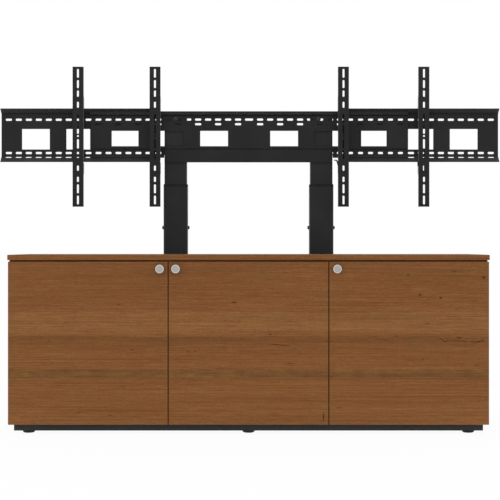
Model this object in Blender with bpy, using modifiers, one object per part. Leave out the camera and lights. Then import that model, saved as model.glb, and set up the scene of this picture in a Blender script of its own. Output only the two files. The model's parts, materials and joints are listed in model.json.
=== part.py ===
"""Audio-visual credenza: a three-door cabinet with a twin-column display lift standing behind it.

Metres, +Z up, +X to the right seen from the front, +Y towards the back.
The origin is on the floor, under the middle of the whole object.
"""

import math

import bmesh
import bpy
from mathutils import Matrix, Vector

# Fits
SEAT = 0.0003
RUNNING = 0.0006
CUT_MARGIN = 0.004

# Worktop and carcass
CABINET_HEIGHT = 0.745
TOP_WIDTH = 2.000
TOP_DEPTH = 0.580
TOP_THICKNESS = 0.022
TOP_EDGE_ROUND = 0.0015
CARCASS_INSET = 0.005
PANEL = 0.019
PANEL_EDGE_ROUND = 0.0006
BACK_PANEL = 0.006
BACK_PANEL_RECESS = 0.012
CABLE_PORT_LENGTH = 0.120
CABLE_PORT_HEIGHT = 0.050
CABLE_PORT_Z = 0.150

# Shelves and their pins
SHELF_Z = 0.372
SHELF_FRONT_SETBACK = 0.040
SHELF_BACK_GAP = 0.004
SHELF_SIDE_GAP = 0.0008
PIN_DIAMETER = 0.005
PIN_LENGTH = 0.009
PIN_ROOT = 0.006
PIN_FROM_SHELF_END = 0.060

# Plinth frame and levelling feet
PLINTH_BOTTOM = 0.011
PLINTH_TOP = 0.040
PLINTH_END_INSET = 0.021
PLINTH_FRONT_SETBACK = 0.043
PLINTH_TO_FLOOR_PLATE = 0.025
PLINTH_SHEET = 0.003
PLINTH_FLANGE = 0.052
FOOT_DIAMETER = 0.052
FOOT_PAD_HEIGHT = 0.014
FOOT_EDGE_ROUND = 0.009
FOOT_STEM = 0.010
FOOT_SHOULDER = 0.020
FOOT_SHOULDER_HEIGHT = 0.007
FOOT_FROM_PLINTH_END = 0.058
FOOT_FROM_PLINTH_FACE = 0.030

# Doors, knobs and concealed hinges
DOOR_THICKNESS = 0.019
DOOR_SETBACK = 0.003
DOOR_SIDE_INSET = 0.0025
DOOR_GAP = 0.004
DOOR_TOP_GAP = 0.0065
DOOR_BACK_GAP = 0.003
DOOR_EDGE_ROUND = 0.0010
AXIS_FROM_EDGE = 0.007
AXIS_FROM_FACE = 0.007
KNOB_DIAMETER = 0.036
KNOB_PROJECTION = 0.024
KNOB_HEAD = 0.010
KNOB_NECK_DIAMETER = 0.015
KNOB_EDGE_ROUND = 0.0012
KNOB_FROM_EDGE = 0.0325
MIDDLE_KNOB_FROM_EDGE = 0.0297
KNOB_FROM_TOP = 0.030
HINGE_FROM_DOOR_END = 0.100
CUP_DIAMETER = 0.035
CUP_DEPTH = 0.012
CUP_WALL = 0.0012
CUP_RIM_DIAMETER = 0.040
CUP_RIM = 0.0012
CUP_FROM_EDGE = 0.0225
ARM_TIP_FROM_EDGE = 0.0245
HINGE_STRIP = 0.0025
HINGE_STRIP_HEIGHT = 0.014
HINGE_STANDOFF = 0.0055
HINGE_NECK_BEND = 0.012
HINGE_ARM_LENGTH = 0.052
HINGE_PLATE_LENGTH = 0.040
HINGE_PLATE_HEIGHT = 0.050

# Lift columns
OUTER_WIDTH = 0.110
OUTER_DEPTH = 0.070
OUTER_CORNER = 0.010
TUBE_WALL = 0.0025
TUBE_CLEARANCE = 0.0015
INNER_CORNER = 0.008
COLUMN_TOP = 1.0645
COLLAR_HEIGHT = 0.012
INNER_BOTTOM = 0.300
INNER_TOP = 1.385
INNER_HOLE_DIAMETER = 0.024
INNER_HOLE_Z = 1.361
NUT_HEIGHT = 0.040
TUBE_CAP = 0.003
TUBE_CAP_RECESS = 0.002
FILLING_OVERLAP = 0.001
SPINDLE_DIAMETER = 0.020
SPINDLE_TOP = 0.870
SPINDLE_CHAMFER = 0.002
MOTOR_WIDTH = 0.088
MOTOR_DEPTH = 0.050
MOTOR_HEIGHT = 0.150
MOTOR_BOSS_DIAMETER = 0.036
MOTOR_BOSS_HEIGHT = 0.020
MOTOR_EDGE_ROUND = 0.004
FLOOR_PLATE = 0.010
FLOOR_PLATE_SIDE = 0.040
FLOOR_PLATE_BACK = 0.040
FLOOR_PLATE_FRONT = 0.035
FLOOR_PLATE_CORNER = 0.012
SADDLE_SHEET = 0.004
SADDLE_CHEEK = 0.048
SADDLE_BELOW_TOP = 0.125
SADDLE_HEIGHT = 0.080

# Crossbar and slotted plates: the offsets are from the cabinet's middle, to the right
MOUNT_SHEET = 0.003
CROSSBAR_BOTTOM = 1.1630
CROSSBAR_HEIGHT = 0.0590
CROSSBAR_DEPTH = 0.005
CROSSBAR_EDGE_ROUND = 0.0008
CROSSBAR_END_INSET = 0.001
PLATE_OFFSET = 0.0028
PLATE_HALF_WIDTH = 0.7252
PLATE_TOP = 1.3947
PLATE_LIP_RISE = 0.0110
PLATE_LIP_REACH = 0.0150
PLATE_JOGGLE_GAP = 0.0025
PLATE_FOOT_REACH = 0.0100
PLATE_NOTCH_CLEAR = 0.0015
WING_OFFSET = 0.006
WING_TO_TUBE = 0.024833
WING_LENGTH = 0.7250
WING_LIP_REACH = 0.0352
WING_TOP_ROOT = 1.3853
WING_TOP_EDGE = 1.4052
WING_BOTTOM_ROOT = 1.1905
WING_BOTTOM_EDGE = 1.1641
SLOT_LENGTH = 0.0279
SLOT_WIDTH = 0.0099
SLOT_PITCH = 0.04556
MIDDLE_SLOT_LENGTH = 0.037
PLATE_FIRST_SLOT = 0.0503
PLATE_SLOT_MARGIN = 0.004
UPPER_SLOT_Z = 1.3582
SECOND_SLOT_Z = 1.3372
LOWER_SLOT_Z = 1.2063
WING_SLOT_FROM_END = 0.0334
LIP_SLOT_WIDTH = 0.0115
LIP_SLOT_FROM_ROOT = 0.0078
WINDOW_WIDTH = 0.1265
WINDOW_COUNT = 3
PLATE_WINDOW_LOW = 1.2369
PLATE_WINDOW_HIGH = 1.3066
PLATE_WINDOW_FIRST = 0.1597
PLATE_WINDOW_PITCH = 0.2019
WING_WINDOW_LOW = 1.2224
WING_WINDOW_HIGH = 1.3158
WING_WINDOW_FROM_END = 0.1571
WING_WINDOW_PITCH = 0.2024

# Display arms: distance of each from the inner end of its wing plate, then the channel, hooks and slots
LEFT_OUTER_ARM_RUN = 0.3705
LEFT_INNER_ARM_RUN = 0.0213
RIGHT_INNER_ARM_RUN = 0.0159
RIGHT_OUTER_ARM_RUN = 0.3808
ARM_WIDTH = 0.0487
ARM_SHEET = 0.0025
ARM_BOTTOM = 0.9596
ARM_TOP = 1.5947
ARM_FRONT_REACH = 0.046
ARM_BACK_REACH = 0.028
HOOK_BACK_REACH = 0.012
HOOK_HEIGHT = 0.058
HOOK_TAPER = 0.016
LIP_UNDER_CLEARANCE = 0.0015
LIP_TIP_CLEARANCE = 0.0006
LOWER_NOTCH_ABOVE = 0.004
LOWER_NOTCH_BELOW = 0.003
ARM_HOLE_DIAMETER = 0.0085
ARM_HOLE_ABOVE_MIDDLE = 0.0031
ARM_SLOT_WIDTH = 0.0088
ARM_SLOT_END_MARGIN = 0.005
# Slots of an arm: distances of both ends from the arm's middle, above and below it
ARM_UPPER_SLOTS = (
    (0.0133, 0.0536),
    (0.0610, 0.1020),
    (0.1314, 0.1585),
    (0.1811, 0.2095),
    (0.2207, 0.2567),
    (0.2678, 0.3073),
)
ARM_LOWER_SLOTS = (
    (0.0113, 0.0536),
    (0.0610, 0.1020),
    (0.1309, 0.1545),
    (0.1816, 0.2049),
    (0.2161, 0.2564),
    (0.2673, 0.3067),
)

# Facets
ROUND_STEPS = 16
SMALL_ROUND_STEPS = 12
SLOT_SIDES = 8
CORNER_STEPS = 3
FOOT_ROUND_STEPS = 2

# Places that follow from the sizes above
KNOB_AHEAD_OF_TOP = KNOB_PROJECTION - DOOR_SETBACK
COLUMN_BEHIND_TOP = SADDLE_SHEET + 2 * SEAT
WHOLE_DEPTH = KNOB_AHEAD_OF_TOP + TOP_DEPTH + COLUMN_BEHIND_TOP + OUTER_DEPTH + FLOOR_PLATE_BACK
TOP_FRONT = KNOB_AHEAD_OF_TOP - WHOLE_DEPTH / 2
TOP_BACK = TOP_FRONT + TOP_DEPTH
DOOR_FACE = TOP_FRONT + DOOR_SETBACK
DOOR_BACK = DOOR_FACE + DOOR_THICKNESS
CARCASS_FRONT = DOOR_BACK + DOOR_BACK_GAP
CARCASS_BACK = TOP_BACK
CARCASS_HALF = TOP_WIDTH / 2 - CARCASS_INSET

TOP_UNDERSIDE = CABINET_HEIGHT - TOP_THICKNESS
SUB_TOP_LOW = TOP_UNDERSIDE - SEAT - PANEL
BOTTOM_LOW = PLINTH_TOP + SEAT
BAY_FLOOR = BOTTOM_LOW + PANEL
BAY_CEILING = SUB_TOP_LOW
DOOR_LOW = PLINTH_TOP
DOOR_HIGH = TOP_UNDERSIDE - DOOR_TOP_GAP

DOORS_HALF = TOP_WIDTH / 2 - DOOR_SIDE_INSET
DOOR_WIDTH = (2 * DOORS_HALF - 2 * DOOR_GAP) / 3
DIVIDER_X = DOOR_WIDTH / 2 + DOOR_GAP / 2
BACK_PANEL_FACE = CARCASS_BACK - BACK_PANEL_RECESS - BACK_PANEL

COLUMN_X = DIVIDER_X
COLUMN_FRONT = TOP_BACK + COLUMN_BEHIND_TOP
COLUMN_Y = COLUMN_FRONT + OUTER_DEPTH / 2
INNER_WIDTH = OUTER_WIDTH - 2 * (TUBE_WALL + TUBE_CLEARANCE)
INNER_DEPTH = OUTER_DEPTH - 2 * (TUBE_WALL + TUBE_CLEARANCE)
MOUNT_PLANE = COLUMN_Y - INNER_DEPTH / 2
WING_INNER_END = COLUMN_X + INNER_WIDTH / 2 + WING_TO_TUBE
WING_OUTER_END = WING_INNER_END + WING_LENGTH
FLOOR_PLATE_EDGE = COLUMN_FRONT - FLOOR_PLATE_FRONT
MOTOR_TOP = FLOOR_PLATE + SEAT + MOTOR_HEIGHT + MOTOR_BOSS_HEIGHT
PLINTH_HALF = TOP_WIDTH / 2 - PLINTH_END_INSET
PLINTH_FRONT = TOP_FRONT + PLINTH_FRONT_SETBACK
PLINTH_BACK = FLOOR_PLATE_EDGE - PLINTH_TO_FLOOR_PLATE
ARM_MIDDLE = (ARM_BOTTOM + ARM_TOP) / 2

# Display arms from left to right: name, side, distance from the inner end of the wing plate
DISPLAY_ARMS = (
    ("left_outer_display_arm", -1, LEFT_OUTER_ARM_RUN),
    ("left_inner_display_arm", -1, LEFT_INNER_ARM_RUN),
    ("right_inner_display_arm", 1, RIGHT_INNER_ARM_RUN),
    ("right_outer_display_arm", 1, RIGHT_OUTER_ARM_RUN),
)
# Bays from left to right: name, left wall, right wall
BAYS = (
    ("left", -CARCASS_HALF + PANEL, -DIVIDER_X - PANEL / 2),
    ("middle", -DIVIDER_X + PANEL / 2, DIVIDER_X - PANEL / 2),
    ("right", DIVIDER_X + PANEL / 2, CARCASS_HALF - PANEL),
)
# Doors from left to right: name, middle, side of the hinges, inner face of the wall that carries them
DOORS = (
    ("left", -DOOR_WIDTH - DOOR_GAP, -1, BAYS[0][1], KNOB_FROM_EDGE),
    ("middle", 0.0, 1, BAYS[1][2], MIDDLE_KNOB_FROM_EDGE),
    ("right", DOOR_WIDTH + DOOR_GAP, 1, BAYS[2][2], KNOB_FROM_EDGE),
)
SIDES = (("left", -1), ("right", 1))


def clear_scene():
    for old in list(bpy.data.objects):
        bpy.data.objects.remove(old)


clear_scene()
PARTS = bpy.data.collections.new("av_credenza")
CUTTERS = bpy.data.collections.new("cutters")
for collection in (PARTS, CUTTERS):
    bpy.context.scene.collection.children.link(collection)


def finish(name, colour, roughness, metallic):
    """A plain Principled material."""
    made = bpy.data.materials.new(name)
    made.use_nodes = True
    shader = made.node_tree.nodes["Principled BSDF"]
    shader.inputs["Base Color"].default_value = (*colour, 1.0)
    shader.inputs["Roughness"].default_value = roughness
    shader.inputs["Metallic"].default_value = metallic
    made.diffuse_color = (*colour, 1.0)
    return made


CHERRY = finish("cherry_laminate", (0.205, 0.080, 0.027), 0.45, 0.0)
BOARD = finish("brown_board", (0.110, 0.062, 0.033), 0.60, 0.0)
BLACK_STEEL = finish("black_powder_coat", (0.026, 0.026, 0.026), 0.55, 0.4)
BLACK_PLASTIC = finish("black_plastic", (0.018, 0.018, 0.018), 0.60, 0.0)
SATIN_NICKEL = finish("satin_nickel", (0.560, 0.550, 0.530), 0.35, 1.0)
BRIGHT_STEEL = finish("bright_steel", (0.450, 0.450, 0.460), 0.30, 1.0)


def place(name, mesh, material, location=(0.0, 0.0, 0.0)):
    """Makes a mesh into a named piece of the object."""
    piece = bpy.data.objects.new(name, mesh)
    piece.location = location
    mesh.materials.append(material)
    PARTS.objects.link(piece)
    return piece


def mesh_of(name, bm):
    mesh = bpy.data.meshes.new(name)
    bm.to_mesh(mesh)
    bm.free()
    return mesh


def tool(name, bm):
    """Makes a mesh into a cutter or a joined block, which is left out of the object itself."""
    made = bpy.data.objects.new(name, mesh_of(name, bm))
    made.hide_render = True
    made.display_type = "WIRE"
    CUTTERS.objects.link(made)
    return made


def combine(piece, other, operation):
    step = piece.modifiers.new(operation.lower(), "BOOLEAN")
    step.object = other
    step.operation = operation
    step.solver = "EXACT"


def round_edges(piece, width, segments=1):
    step = piece.modifiers.new("edges", "BEVEL")
    step.width = width
    step.segments = segments
    step.limit_method = "ANGLE"


def add_box(bm, low, high):
    """Adds a box between two corners."""
    low = Vector(low)
    high = Vector(high)
    size = high - low
    shape = Matrix.Translation((low + high) / 2) @ Matrix.Diagonal((*size, 1.0))
    return bmesh.ops.create_cube(bm, size=1.0, matrix=shape)["verts"]


def add_rod(bm, start, end, diameter, steps):
    """Adds a round rod between two points."""
    start = Vector(start)
    run = Vector(end) - start
    turn = run.to_track_quat("Z", "Y").to_matrix().to_4x4()
    bmesh.ops.create_cone(
        bm,
        cap_ends=True,
        segments=steps,
        radius1=diameter / 2,
        radius2=diameter / 2,
        depth=run.length,
        matrix=Matrix.Translation(start + run / 2) @ turn,
    )


def add_slot(bm, middle, length, width, depth, frame=Matrix.Identity(3)):
    """Adds a round-ended slot: long along the frame's X, and cut along the frame's Y."""
    half_step = math.pi / SLOT_SIDES
    radius = width / 2 / math.cos(half_step)
    turn = Matrix.Rotation(-math.pi / 2, 4, "X") @ Matrix.Rotation(half_step, 4, "Z")
    made = bmesh.ops.create_cone(
        bm,
        cap_ends=True,
        segments=SLOT_SIDES,
        radius1=radius,
        radius2=radius,
        depth=depth,
        matrix=turn,
    )["verts"]
    for vert in made:
        vert.co.x += math.copysign((length - width) / 2, vert.co.x)
        vert.co = Vector(middle) + frame @ vert.co


def box(name, low, high, material, edge=0.0):
    """A panel or block with slightly eased edges, its origin at its middle."""
    low = Vector(low)
    high = Vector(high)
    middle = (low + high) / 2
    bm = bmesh.new()
    add_box(bm, low - middle, high - middle)
    piece = place(name, mesh_of(name, bm), material, middle)
    if edge:
        round_edges(piece, edge)
    return piece


def turned(name, profile, material, location, rotation=(0.0, 0.0, 0.0), steps=ROUND_STEPS):
    """A turned solid: a profile of radius and height, from the top down, swept about its own Z."""
    bm = bmesh.new()
    verts = [bm.verts.new((radius, 0.0, height)) for radius, height in profile]
    for first, second in zip(verts, verts[1:]):
        bm.edges.new((first, second))
    piece = place(name, mesh_of(name, bm), material, location)
    piece.rotation_euler = rotation
    sweep = piece.modifiers.new("sweep", "SCREW")
    sweep.steps = steps
    sweep.render_steps = steps
    sweep.use_merge_vertices = True
    sweep.merge_threshold = 0.00001
    return piece


def quarter_round(radius, height, round_radius, outward_first, steps=CORNER_STEPS):
    """Points of a rounded outer corner of a turned profile, running down the outer side."""
    points = []
    for step in range(steps + 1):
        angle = math.pi / 2 * step / steps
        lean = math.sin(angle) if outward_first else math.cos(angle)
        drop = 1 - math.cos(angle) if outward_first else math.sin(angle)
        points.append((radius - round_radius * (1 - lean), height - round_radius * drop))
    return points


def bent_sheet(name, points, sweep, thickness, material):
    """A bent sheet: an open line of points swept straight, then given its thickness on both sides."""
    bm = bmesh.new()
    verts = [bm.verts.new(point) for point in points]
    edges = [bm.edges.new(pair) for pair in zip(verts, verts[1:])]
    swept = bmesh.ops.extrude_edge_only(bm, edges=edges)["geom"]
    moved = [item for item in swept if isinstance(item, bmesh.types.BMVert)]
    bmesh.ops.translate(bm, vec=sweep, verts=moved)
    piece = place(name, mesh_of(name, bm), material)
    thicken(piece, thickness, 0.0)
    return piece


def thicken(piece, thickness, offset):
    step = piece.modifiers.new("thickness", "SOLIDIFY")
    step.thickness = thickness
    step.offset = offset
    step.use_even_offset = True


def rounded_outline(width, depth, corner):
    """Corner points of a rounded rectangle about the origin, anticlockwise."""
    points = []
    for quarter in range(4):
        sign_x = 1 if quarter in (0, 3) else -1
        sign_y = 1 if quarter in (0, 1) else -1
        for step in range(CORNER_STEPS + 1):
            angle = math.pi / 2 * (quarter + step / CORNER_STEPS)
            x = sign_x * (width / 2 - corner) + corner * math.cos(angle)
            y = sign_y * (depth / 2 - corner) + corner * math.sin(angle)
            points.append((x, y))
    return points


def tube(name, width, depth, corner, wall, low, high, location, material):
    """A rounded rectangular tube standing upright, open at both ends."""
    bm = bmesh.new()
    verts = [bm.verts.new((x, y, low)) for x, y in rounded_outline(width, depth, corner)]
    edges = [bm.edges.new(pair) for pair in zip(verts, verts[1:] + verts[:1])]
    swept = bmesh.ops.extrude_edge_only(bm, edges=edges)["geom"]
    moved = [item for item in swept if isinstance(item, bmesh.types.BMVert)]
    bmesh.ops.translate(bm, vec=(0.0, 0.0, high - low), verts=moved)
    bmesh.ops.recalc_face_normals(bm, faces=bm.faces)
    piece = place(name, mesh_of(name, bm), material, location)
    thicken(piece, wall, -1.0)
    return piece


def ride(pieces, empty_name, point):
    """Hangs moving pieces on an empty that stands on their joint's axis, where they already are."""
    axis = bpy.data.objects.new(empty_name, None)
    axis.location = point
    PARTS.objects.link(axis)
    for piece in pieces:
        piece.parent = axis
        piece.matrix_parent_inverse = Matrix.Translation(-Vector(point))


def make_worktop():
    half = TOP_WIDTH / 2
    low = (-half, TOP_FRONT, TOP_UNDERSIDE)
    box("top_panel", low, (half, TOP_BACK, CABINET_HEIGHT), CHERRY, TOP_EDGE_ROUND)
    half = CARCASS_HALF
    low = (-half, CARCASS_FRONT, SUB_TOP_LOW)
    box("sub_top_panel", low, (half, CARCASS_BACK, SUB_TOP_LOW + PANEL), BOARD, PANEL_EDGE_ROUND)
    low = (-half, CARCASS_FRONT, BOTTOM_LOW)
    box("bottom_panel", low, (half, CARCASS_BACK, BAY_FLOOR), BOARD, PANEL_EDGE_ROUND)


def make_wall(name, middle, faces, material):
    """An upright panel with a pair of shelf pins on each face that looks into a bay."""
    low = (middle - PANEL / 2, CARCASS_FRONT, BAY_FLOOR + SEAT)
    high = (middle + PANEL / 2, CARCASS_BACK, BAY_CEILING - SEAT)
    panel = box(name, low, high, material, PANEL_EDGE_ROUND)
    bm = bmesh.new()
    shelf_front, shelf_back = shelf_span()
    pin_z = SHELF_Z - SEAT - PIN_DIAMETER / 2
    for face in faces:
        root = middle + face * (PANEL / 2 - PIN_ROOT)
        end = middle + face * (PANEL / 2 + PIN_LENGTH)
        for pin_y in (shelf_front + PIN_FROM_SHELF_END, shelf_back - PIN_FROM_SHELF_END):
            add_rod(bm, (root, pin_y, pin_z), (end, pin_y, pin_z), PIN_DIAMETER, SLOT_SIDES)
    combine(panel, tool(name + "_pins", bm), "UNION")


def shelf_span():
    return CARCASS_FRONT + SHELF_FRONT_SETBACK, BACK_PANEL_FACE - SHELF_BACK_GAP


def make_walls():
    outer = CARCASS_HALF - PANEL / 2
    make_wall("left_side_panel", -outer, (1,), CHERRY)
    make_wall("left_divider", -DIVIDER_X, (-1, 1), BOARD)
    make_wall("right_divider", DIVIDER_X, (-1, 1), BOARD)
    make_wall("right_side_panel", outer, (-1,), CHERRY)


def make_bay(name, left, right):
    """A bay's shelf and its back panel with a cable port."""
    shelf_front, shelf_back = shelf_span()
    low = (left + SHELF_SIDE_GAP, shelf_front, SHELF_Z)
    high = (right - SHELF_SIDE_GAP, shelf_back, SHELF_Z + PANEL)
    box(name + "_shelf", low, high, BOARD, PANEL_EDGE_ROUND)
    low = (left + SEAT, BACK_PANEL_FACE, BAY_FLOOR + SEAT)
    high = (right - SEAT, BACK_PANEL_FACE + BACK_PANEL, BAY_CEILING - SEAT)
    back = box(name + "_back_panel", low, high, BOARD)
    bm = bmesh.new()
    middle = ((left + right) / 2, BACK_PANEL_FACE + BACK_PANEL / 2, CABLE_PORT_Z)
    add_slot(bm, middle, CABLE_PORT_LENGTH, CABLE_PORT_HEIGHT, BACK_PANEL + 2 * CUT_MARGIN)
    combine(back, tool(name + "_cable_port", bm), "DIFFERENCE")


def foot_places():
    """Front and back rows of feet: row name, place name, x, y."""
    reach = PLINTH_HALF - FOOT_FROM_PLINTH_END
    rows = (("front", PLINTH_FRONT + FOOT_FROM_PLINTH_FACE), ("back", PLINTH_BACK - FOOT_FROM_PLINTH_FACE))
    columns = (("left", -reach), ("middle", 0.0), ("right", reach))
    return [(f"{row}_{column}_foot", x, y) for row, y in rows for column, x in columns]


def make_plinth():
    """A skirt with an inward flange along its top, and a hole for each foot's stem."""
    low = (-PLINTH_HALF, PLINTH_FRONT, PLINTH_BOTTOM)
    plinth = box("plinth_frame", low, (PLINTH_HALF, PLINTH_BACK, PLINTH_TOP), BLACK_STEEL)
    hollow = bmesh.new()
    inner = PLINTH_HALF - PLINTH_SHEET
    low = (-inner, PLINTH_FRONT + PLINTH_SHEET, PLINTH_BOTTOM - CUT_MARGIN)
    add_box(hollow, low, (inner, PLINTH_BACK - PLINTH_SHEET, PLINTH_TOP - PLINTH_SHEET))
    combine(plinth, tool("plinth_hollow", hollow), "DIFFERENCE")
    through = bmesh.new()
    inner = PLINTH_HALF - PLINTH_FLANGE
    low = (-inner, PLINTH_FRONT + PLINTH_FLANGE, PLINTH_BOTTOM)
    add_box(through, low, (inner, PLINTH_BACK - PLINTH_FLANGE, PLINTH_TOP + CUT_MARGIN))
    for _, x, y in foot_places():
        start = (x, y, PLINTH_BOTTOM)
        add_rod(through, start, (x, y, PLINTH_TOP + CUT_MARGIN), FOOT_STEM + 2 * RUNNING, SMALL_ROUND_STEPS)
    combine(plinth, tool("plinth_openings", through), "DIFFERENCE")


def make_feet():
    """Levelling feet: a rounded pad, a stem, and a shoulder under the plinth's flange."""
    pad = FOOT_DIAMETER / 2
    stem = FOOT_STEM / 2
    shoulder_top = PLINTH_TOP - PLINTH_SHEET - SEAT
    shoulder_low = shoulder_top - FOOT_SHOULDER_HEIGHT
    profile = [
        (0.0, PLINTH_TOP - SEAT),
        (stem, PLINTH_TOP - SEAT),
        (stem, shoulder_top),
        (FOOT_SHOULDER / 2, shoulder_top),
        (FOOT_SHOULDER / 2, shoulder_low),
        (stem, shoulder_low),
        (stem, FOOT_PAD_HEIGHT),
        (pad, FOOT_PAD_HEIGHT),
    ]
    profile += quarter_round(pad, FOOT_EDGE_ROUND, FOOT_EDGE_ROUND, False, FOOT_ROUND_STEPS)
    profile.append((0.0, 0.0))
    for name, x, y in foot_places():
        turned(name, profile, BLACK_PLASTIC, (x, y, 0.0), steps=SMALL_ROUND_STEPS)


def knob_profile():
    head = KNOB_DIAMETER / 2
    neck = KNOB_NECK_DIAMETER / 2
    profile = [(0.0, KNOB_PROJECTION)]
    profile += quarter_round(head, KNOB_PROJECTION, KNOB_EDGE_ROUND, True)
    profile.append((head, KNOB_PROJECTION - KNOB_HEAD))
    profile.append((neck, KNOB_PROJECTION - KNOB_HEAD))
    profile.append((neck, SEAT))
    profile.append((0.0, SEAT))
    return profile


def cup_profile():
    """An open cup with a thin rim; the rim's top is the highest point, the door's back is at 0."""
    outer = CUP_DIAMETER / 2
    inner = outer - CUP_WALL
    rim = CUP_RIM_DIAMETER / 2
    rim_low = SEAT
    return [
        (0.0, CUP_WALL - CUP_DEPTH),
        (inner, CUP_WALL - CUP_DEPTH),
        (inner, rim_low + CUP_RIM),
        (rim, rim_low + CUP_RIM),
        (rim, rim_low),
        (outer, rim_low),
        (outer, -CUP_DEPTH),
        (0.0, -CUP_DEPTH),
    ]


def make_hinge_arm(name, edge, inward, wall_face, z):
    """A cranked strip that reaches from the wall into the hinge cup, with its mounting plate."""
    cup_floor = DOOR_BACK - CUP_DEPTH + CUP_WALL
    tip_x = edge + inward * ARM_TIP_FROM_EDGE
    run_x = wall_face + inward * (HINGE_STANDOFF + HINGE_STRIP / 2)
    low = z - HINGE_STRIP_HEIGHT / 2
    neck = CARCASS_FRONT
    bend = neck + HINGE_NECK_BEND
    points = [
        (tip_x, cup_floor + SEAT, low),
        (tip_x, neck, low),
        (run_x, bend, low),
        (run_x, bend + HINGE_ARM_LENGTH, low),
    ]
    arm = bent_sheet(name, points, (0.0, 0.0, HINGE_STRIP_HEIGHT), HINGE_STRIP, BRIGHT_STEEL)
    bm = bmesh.new()
    back = bend + HINGE_ARM_LENGTH - CUT_MARGIN
    near = wall_face + inward * SEAT
    far = wall_face + inward * (HINGE_STANDOFF + HINGE_STRIP / 2)
    half = HINGE_PLATE_HEIGHT / 2
    low = (min(near, far), back - HINGE_PLATE_LENGTH, z - half)
    add_box(bm, low, (max(near, far), back, z + half))
    combine(arm, tool(name + "_plate", bm), "UNION")


def make_door(name, middle, hinge_side, wall_face, knob_from_edge):
    """A door with its knob and hinge cups, which turn together, and the hinge arms that stay behind."""
    half = DOOR_WIDTH / 2
    edge = middle + hinge_side * half
    inward = -hinge_side
    low = (middle - half, DOOR_FACE, DOOR_LOW)
    door = box(name + "_door", low, (middle + half, DOOR_BACK, DOOR_HIGH), CHERRY, DOOR_EDGE_ROUND)
    knob_place = (middle - hinge_side * (half - knob_from_edge), DOOR_FACE, DOOR_HIGH - KNOB_FROM_TOP)
    knob = turned(name + "_knob", knob_profile(), SATIN_NICKEL, knob_place, (math.pi / 2, 0.0, 0.0))
    moving = [door, knob]
    bores = bmesh.new()
    cup_x = edge + inward * CUP_FROM_EDGE
    for end, z in (("lower", DOOR_LOW + HINGE_FROM_DOOR_END), ("upper", DOOR_HIGH - HINGE_FROM_DOOR_END)):
        cup_name = f"{name}_door_{end}_hinge_cup"
        turn = (-math.pi / 2, 0.0, 0.0)
        moving.append(turned(cup_name, cup_profile(), BRIGHT_STEEL, (cup_x, DOOR_BACK, z), turn))
        start = (cup_x, DOOR_BACK - CUP_DEPTH - SEAT, z)
        bore = CUP_DIAMETER + 4 * SEAT
        add_rod(bores, start, (cup_x, DOOR_BACK + CUT_MARGIN, z), bore, ROUND_STEPS)
        make_hinge_arm(f"{name}_door_{end}_hinge_arm", edge, inward, wall_face, z)
    combine(door, tool(name + "_door_bores", bores), "DIFFERENCE")
    axis = (edge + inward * AXIS_FROM_EDGE, DOOR_FACE + AXIS_FROM_FACE, DOOR_LOW)
    ride(moving, name + "_door_axis", axis)


def make_column(side, sign):
    """A telescopic column: fixed outer tube, collar, floor plate, saddle and drive, and the inner tube."""
    x = sign * COLUMN_X
    foot = (x, COLUMN_Y, 0.0)
    low = FLOOR_PLATE + SEAT
    top = COLUMN_TOP - COLLAR_HEIGHT - SEAT
    sizes = (OUTER_WIDTH, OUTER_DEPTH, OUTER_CORNER, TUBE_WALL, low, top)
    tube(f"{side}_outer_tube", *sizes, foot, BLACK_STEEL)
    make_collar(f"{side}_column_collar", foot)
    make_floor_plate(f"{side}_floor_plate", x)
    make_saddle(f"{side}_column_saddle", x)
    make_motor(f"{side}_drive_motor", foot)
    spindle = make_spindle(f"{side}_spindle", foot)
    ride([spindle], f"{side}_spindle_axis", foot)
    return make_inner_tube(f"{side}_inner_tube", foot)


def make_collar(name, foot):
    wall = TUBE_WALL + TUBE_CLEARANCE - RUNNING
    low = COLUMN_TOP - COLLAR_HEIGHT
    tube(name, OUTER_WIDTH, OUTER_DEPTH, OUTER_CORNER, wall, low, COLUMN_TOP, foot, BLACK_PLASTIC)


def make_inner_tube(name, foot):
    """The moving tube: a nut fixed in its foot, a cap in its top, and a hole through it under the cap."""
    sizes = (INNER_WIDTH, INNER_DEPTH, INNER_CORNER, TUBE_WALL, INNER_BOTTOM, INNER_TOP)
    inner = tube(name, *sizes, foot, BLACK_STEEL)
    inset = TUBE_WALL - FILLING_OVERLAP
    outline = rounded_outline(INNER_WIDTH - 2 * inset, INNER_DEPTH - 2 * inset, INNER_CORNER - inset)
    fillings = bmesh.new()
    nut_low = INNER_BOTTOM + CUT_MARGIN
    add_prism(fillings, outline, foot, nut_low, nut_low + NUT_HEIGHT)
    cap_high = INNER_TOP - TUBE_CAP_RECESS
    add_prism(fillings, outline, foot, cap_high - TUBE_CAP, cap_high)
    combine(inner, tool(name + "_fillings", fillings), "UNION")
    bores = bmesh.new()
    low = Vector(foot) + Vector((0.0, 0.0, INNER_BOTTOM))
    high = low + Vector((0.0, 0.0, NUT_HEIGHT + 2 * CUT_MARGIN))
    add_rod(bores, low, high, SPINDLE_DIAMETER + 2 * RUNNING, ROUND_STEPS)
    reach = Vector((0.0, INNER_DEPTH / 2 + CUT_MARGIN, 0.0))
    hole = Vector(foot) + Vector((0.0, 0.0, INNER_HOLE_Z))
    add_rod(bores, hole - reach, hole + reach, INNER_HOLE_DIAMETER, ROUND_STEPS)
    combine(inner, tool(name + "_bores", bores), "DIFFERENCE")
    return inner


def add_prism(bm, outline, foot, low, high):
    """Adds an upright block with a given outline."""
    base = bm.faces.new([bm.verts.new((foot[0] + x, foot[1] + y, low)) for x, y in outline])
    risen = bmesh.ops.extrude_face_region(bm, geom=[base])["geom"]
    lifted = [item for item in risen if isinstance(item, bmesh.types.BMVert)]
    bmesh.ops.translate(bm, vec=(0.0, 0.0, high - low), verts=lifted)
    bmesh.ops.recalc_face_normals(bm, faces=bm.faces)


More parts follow.
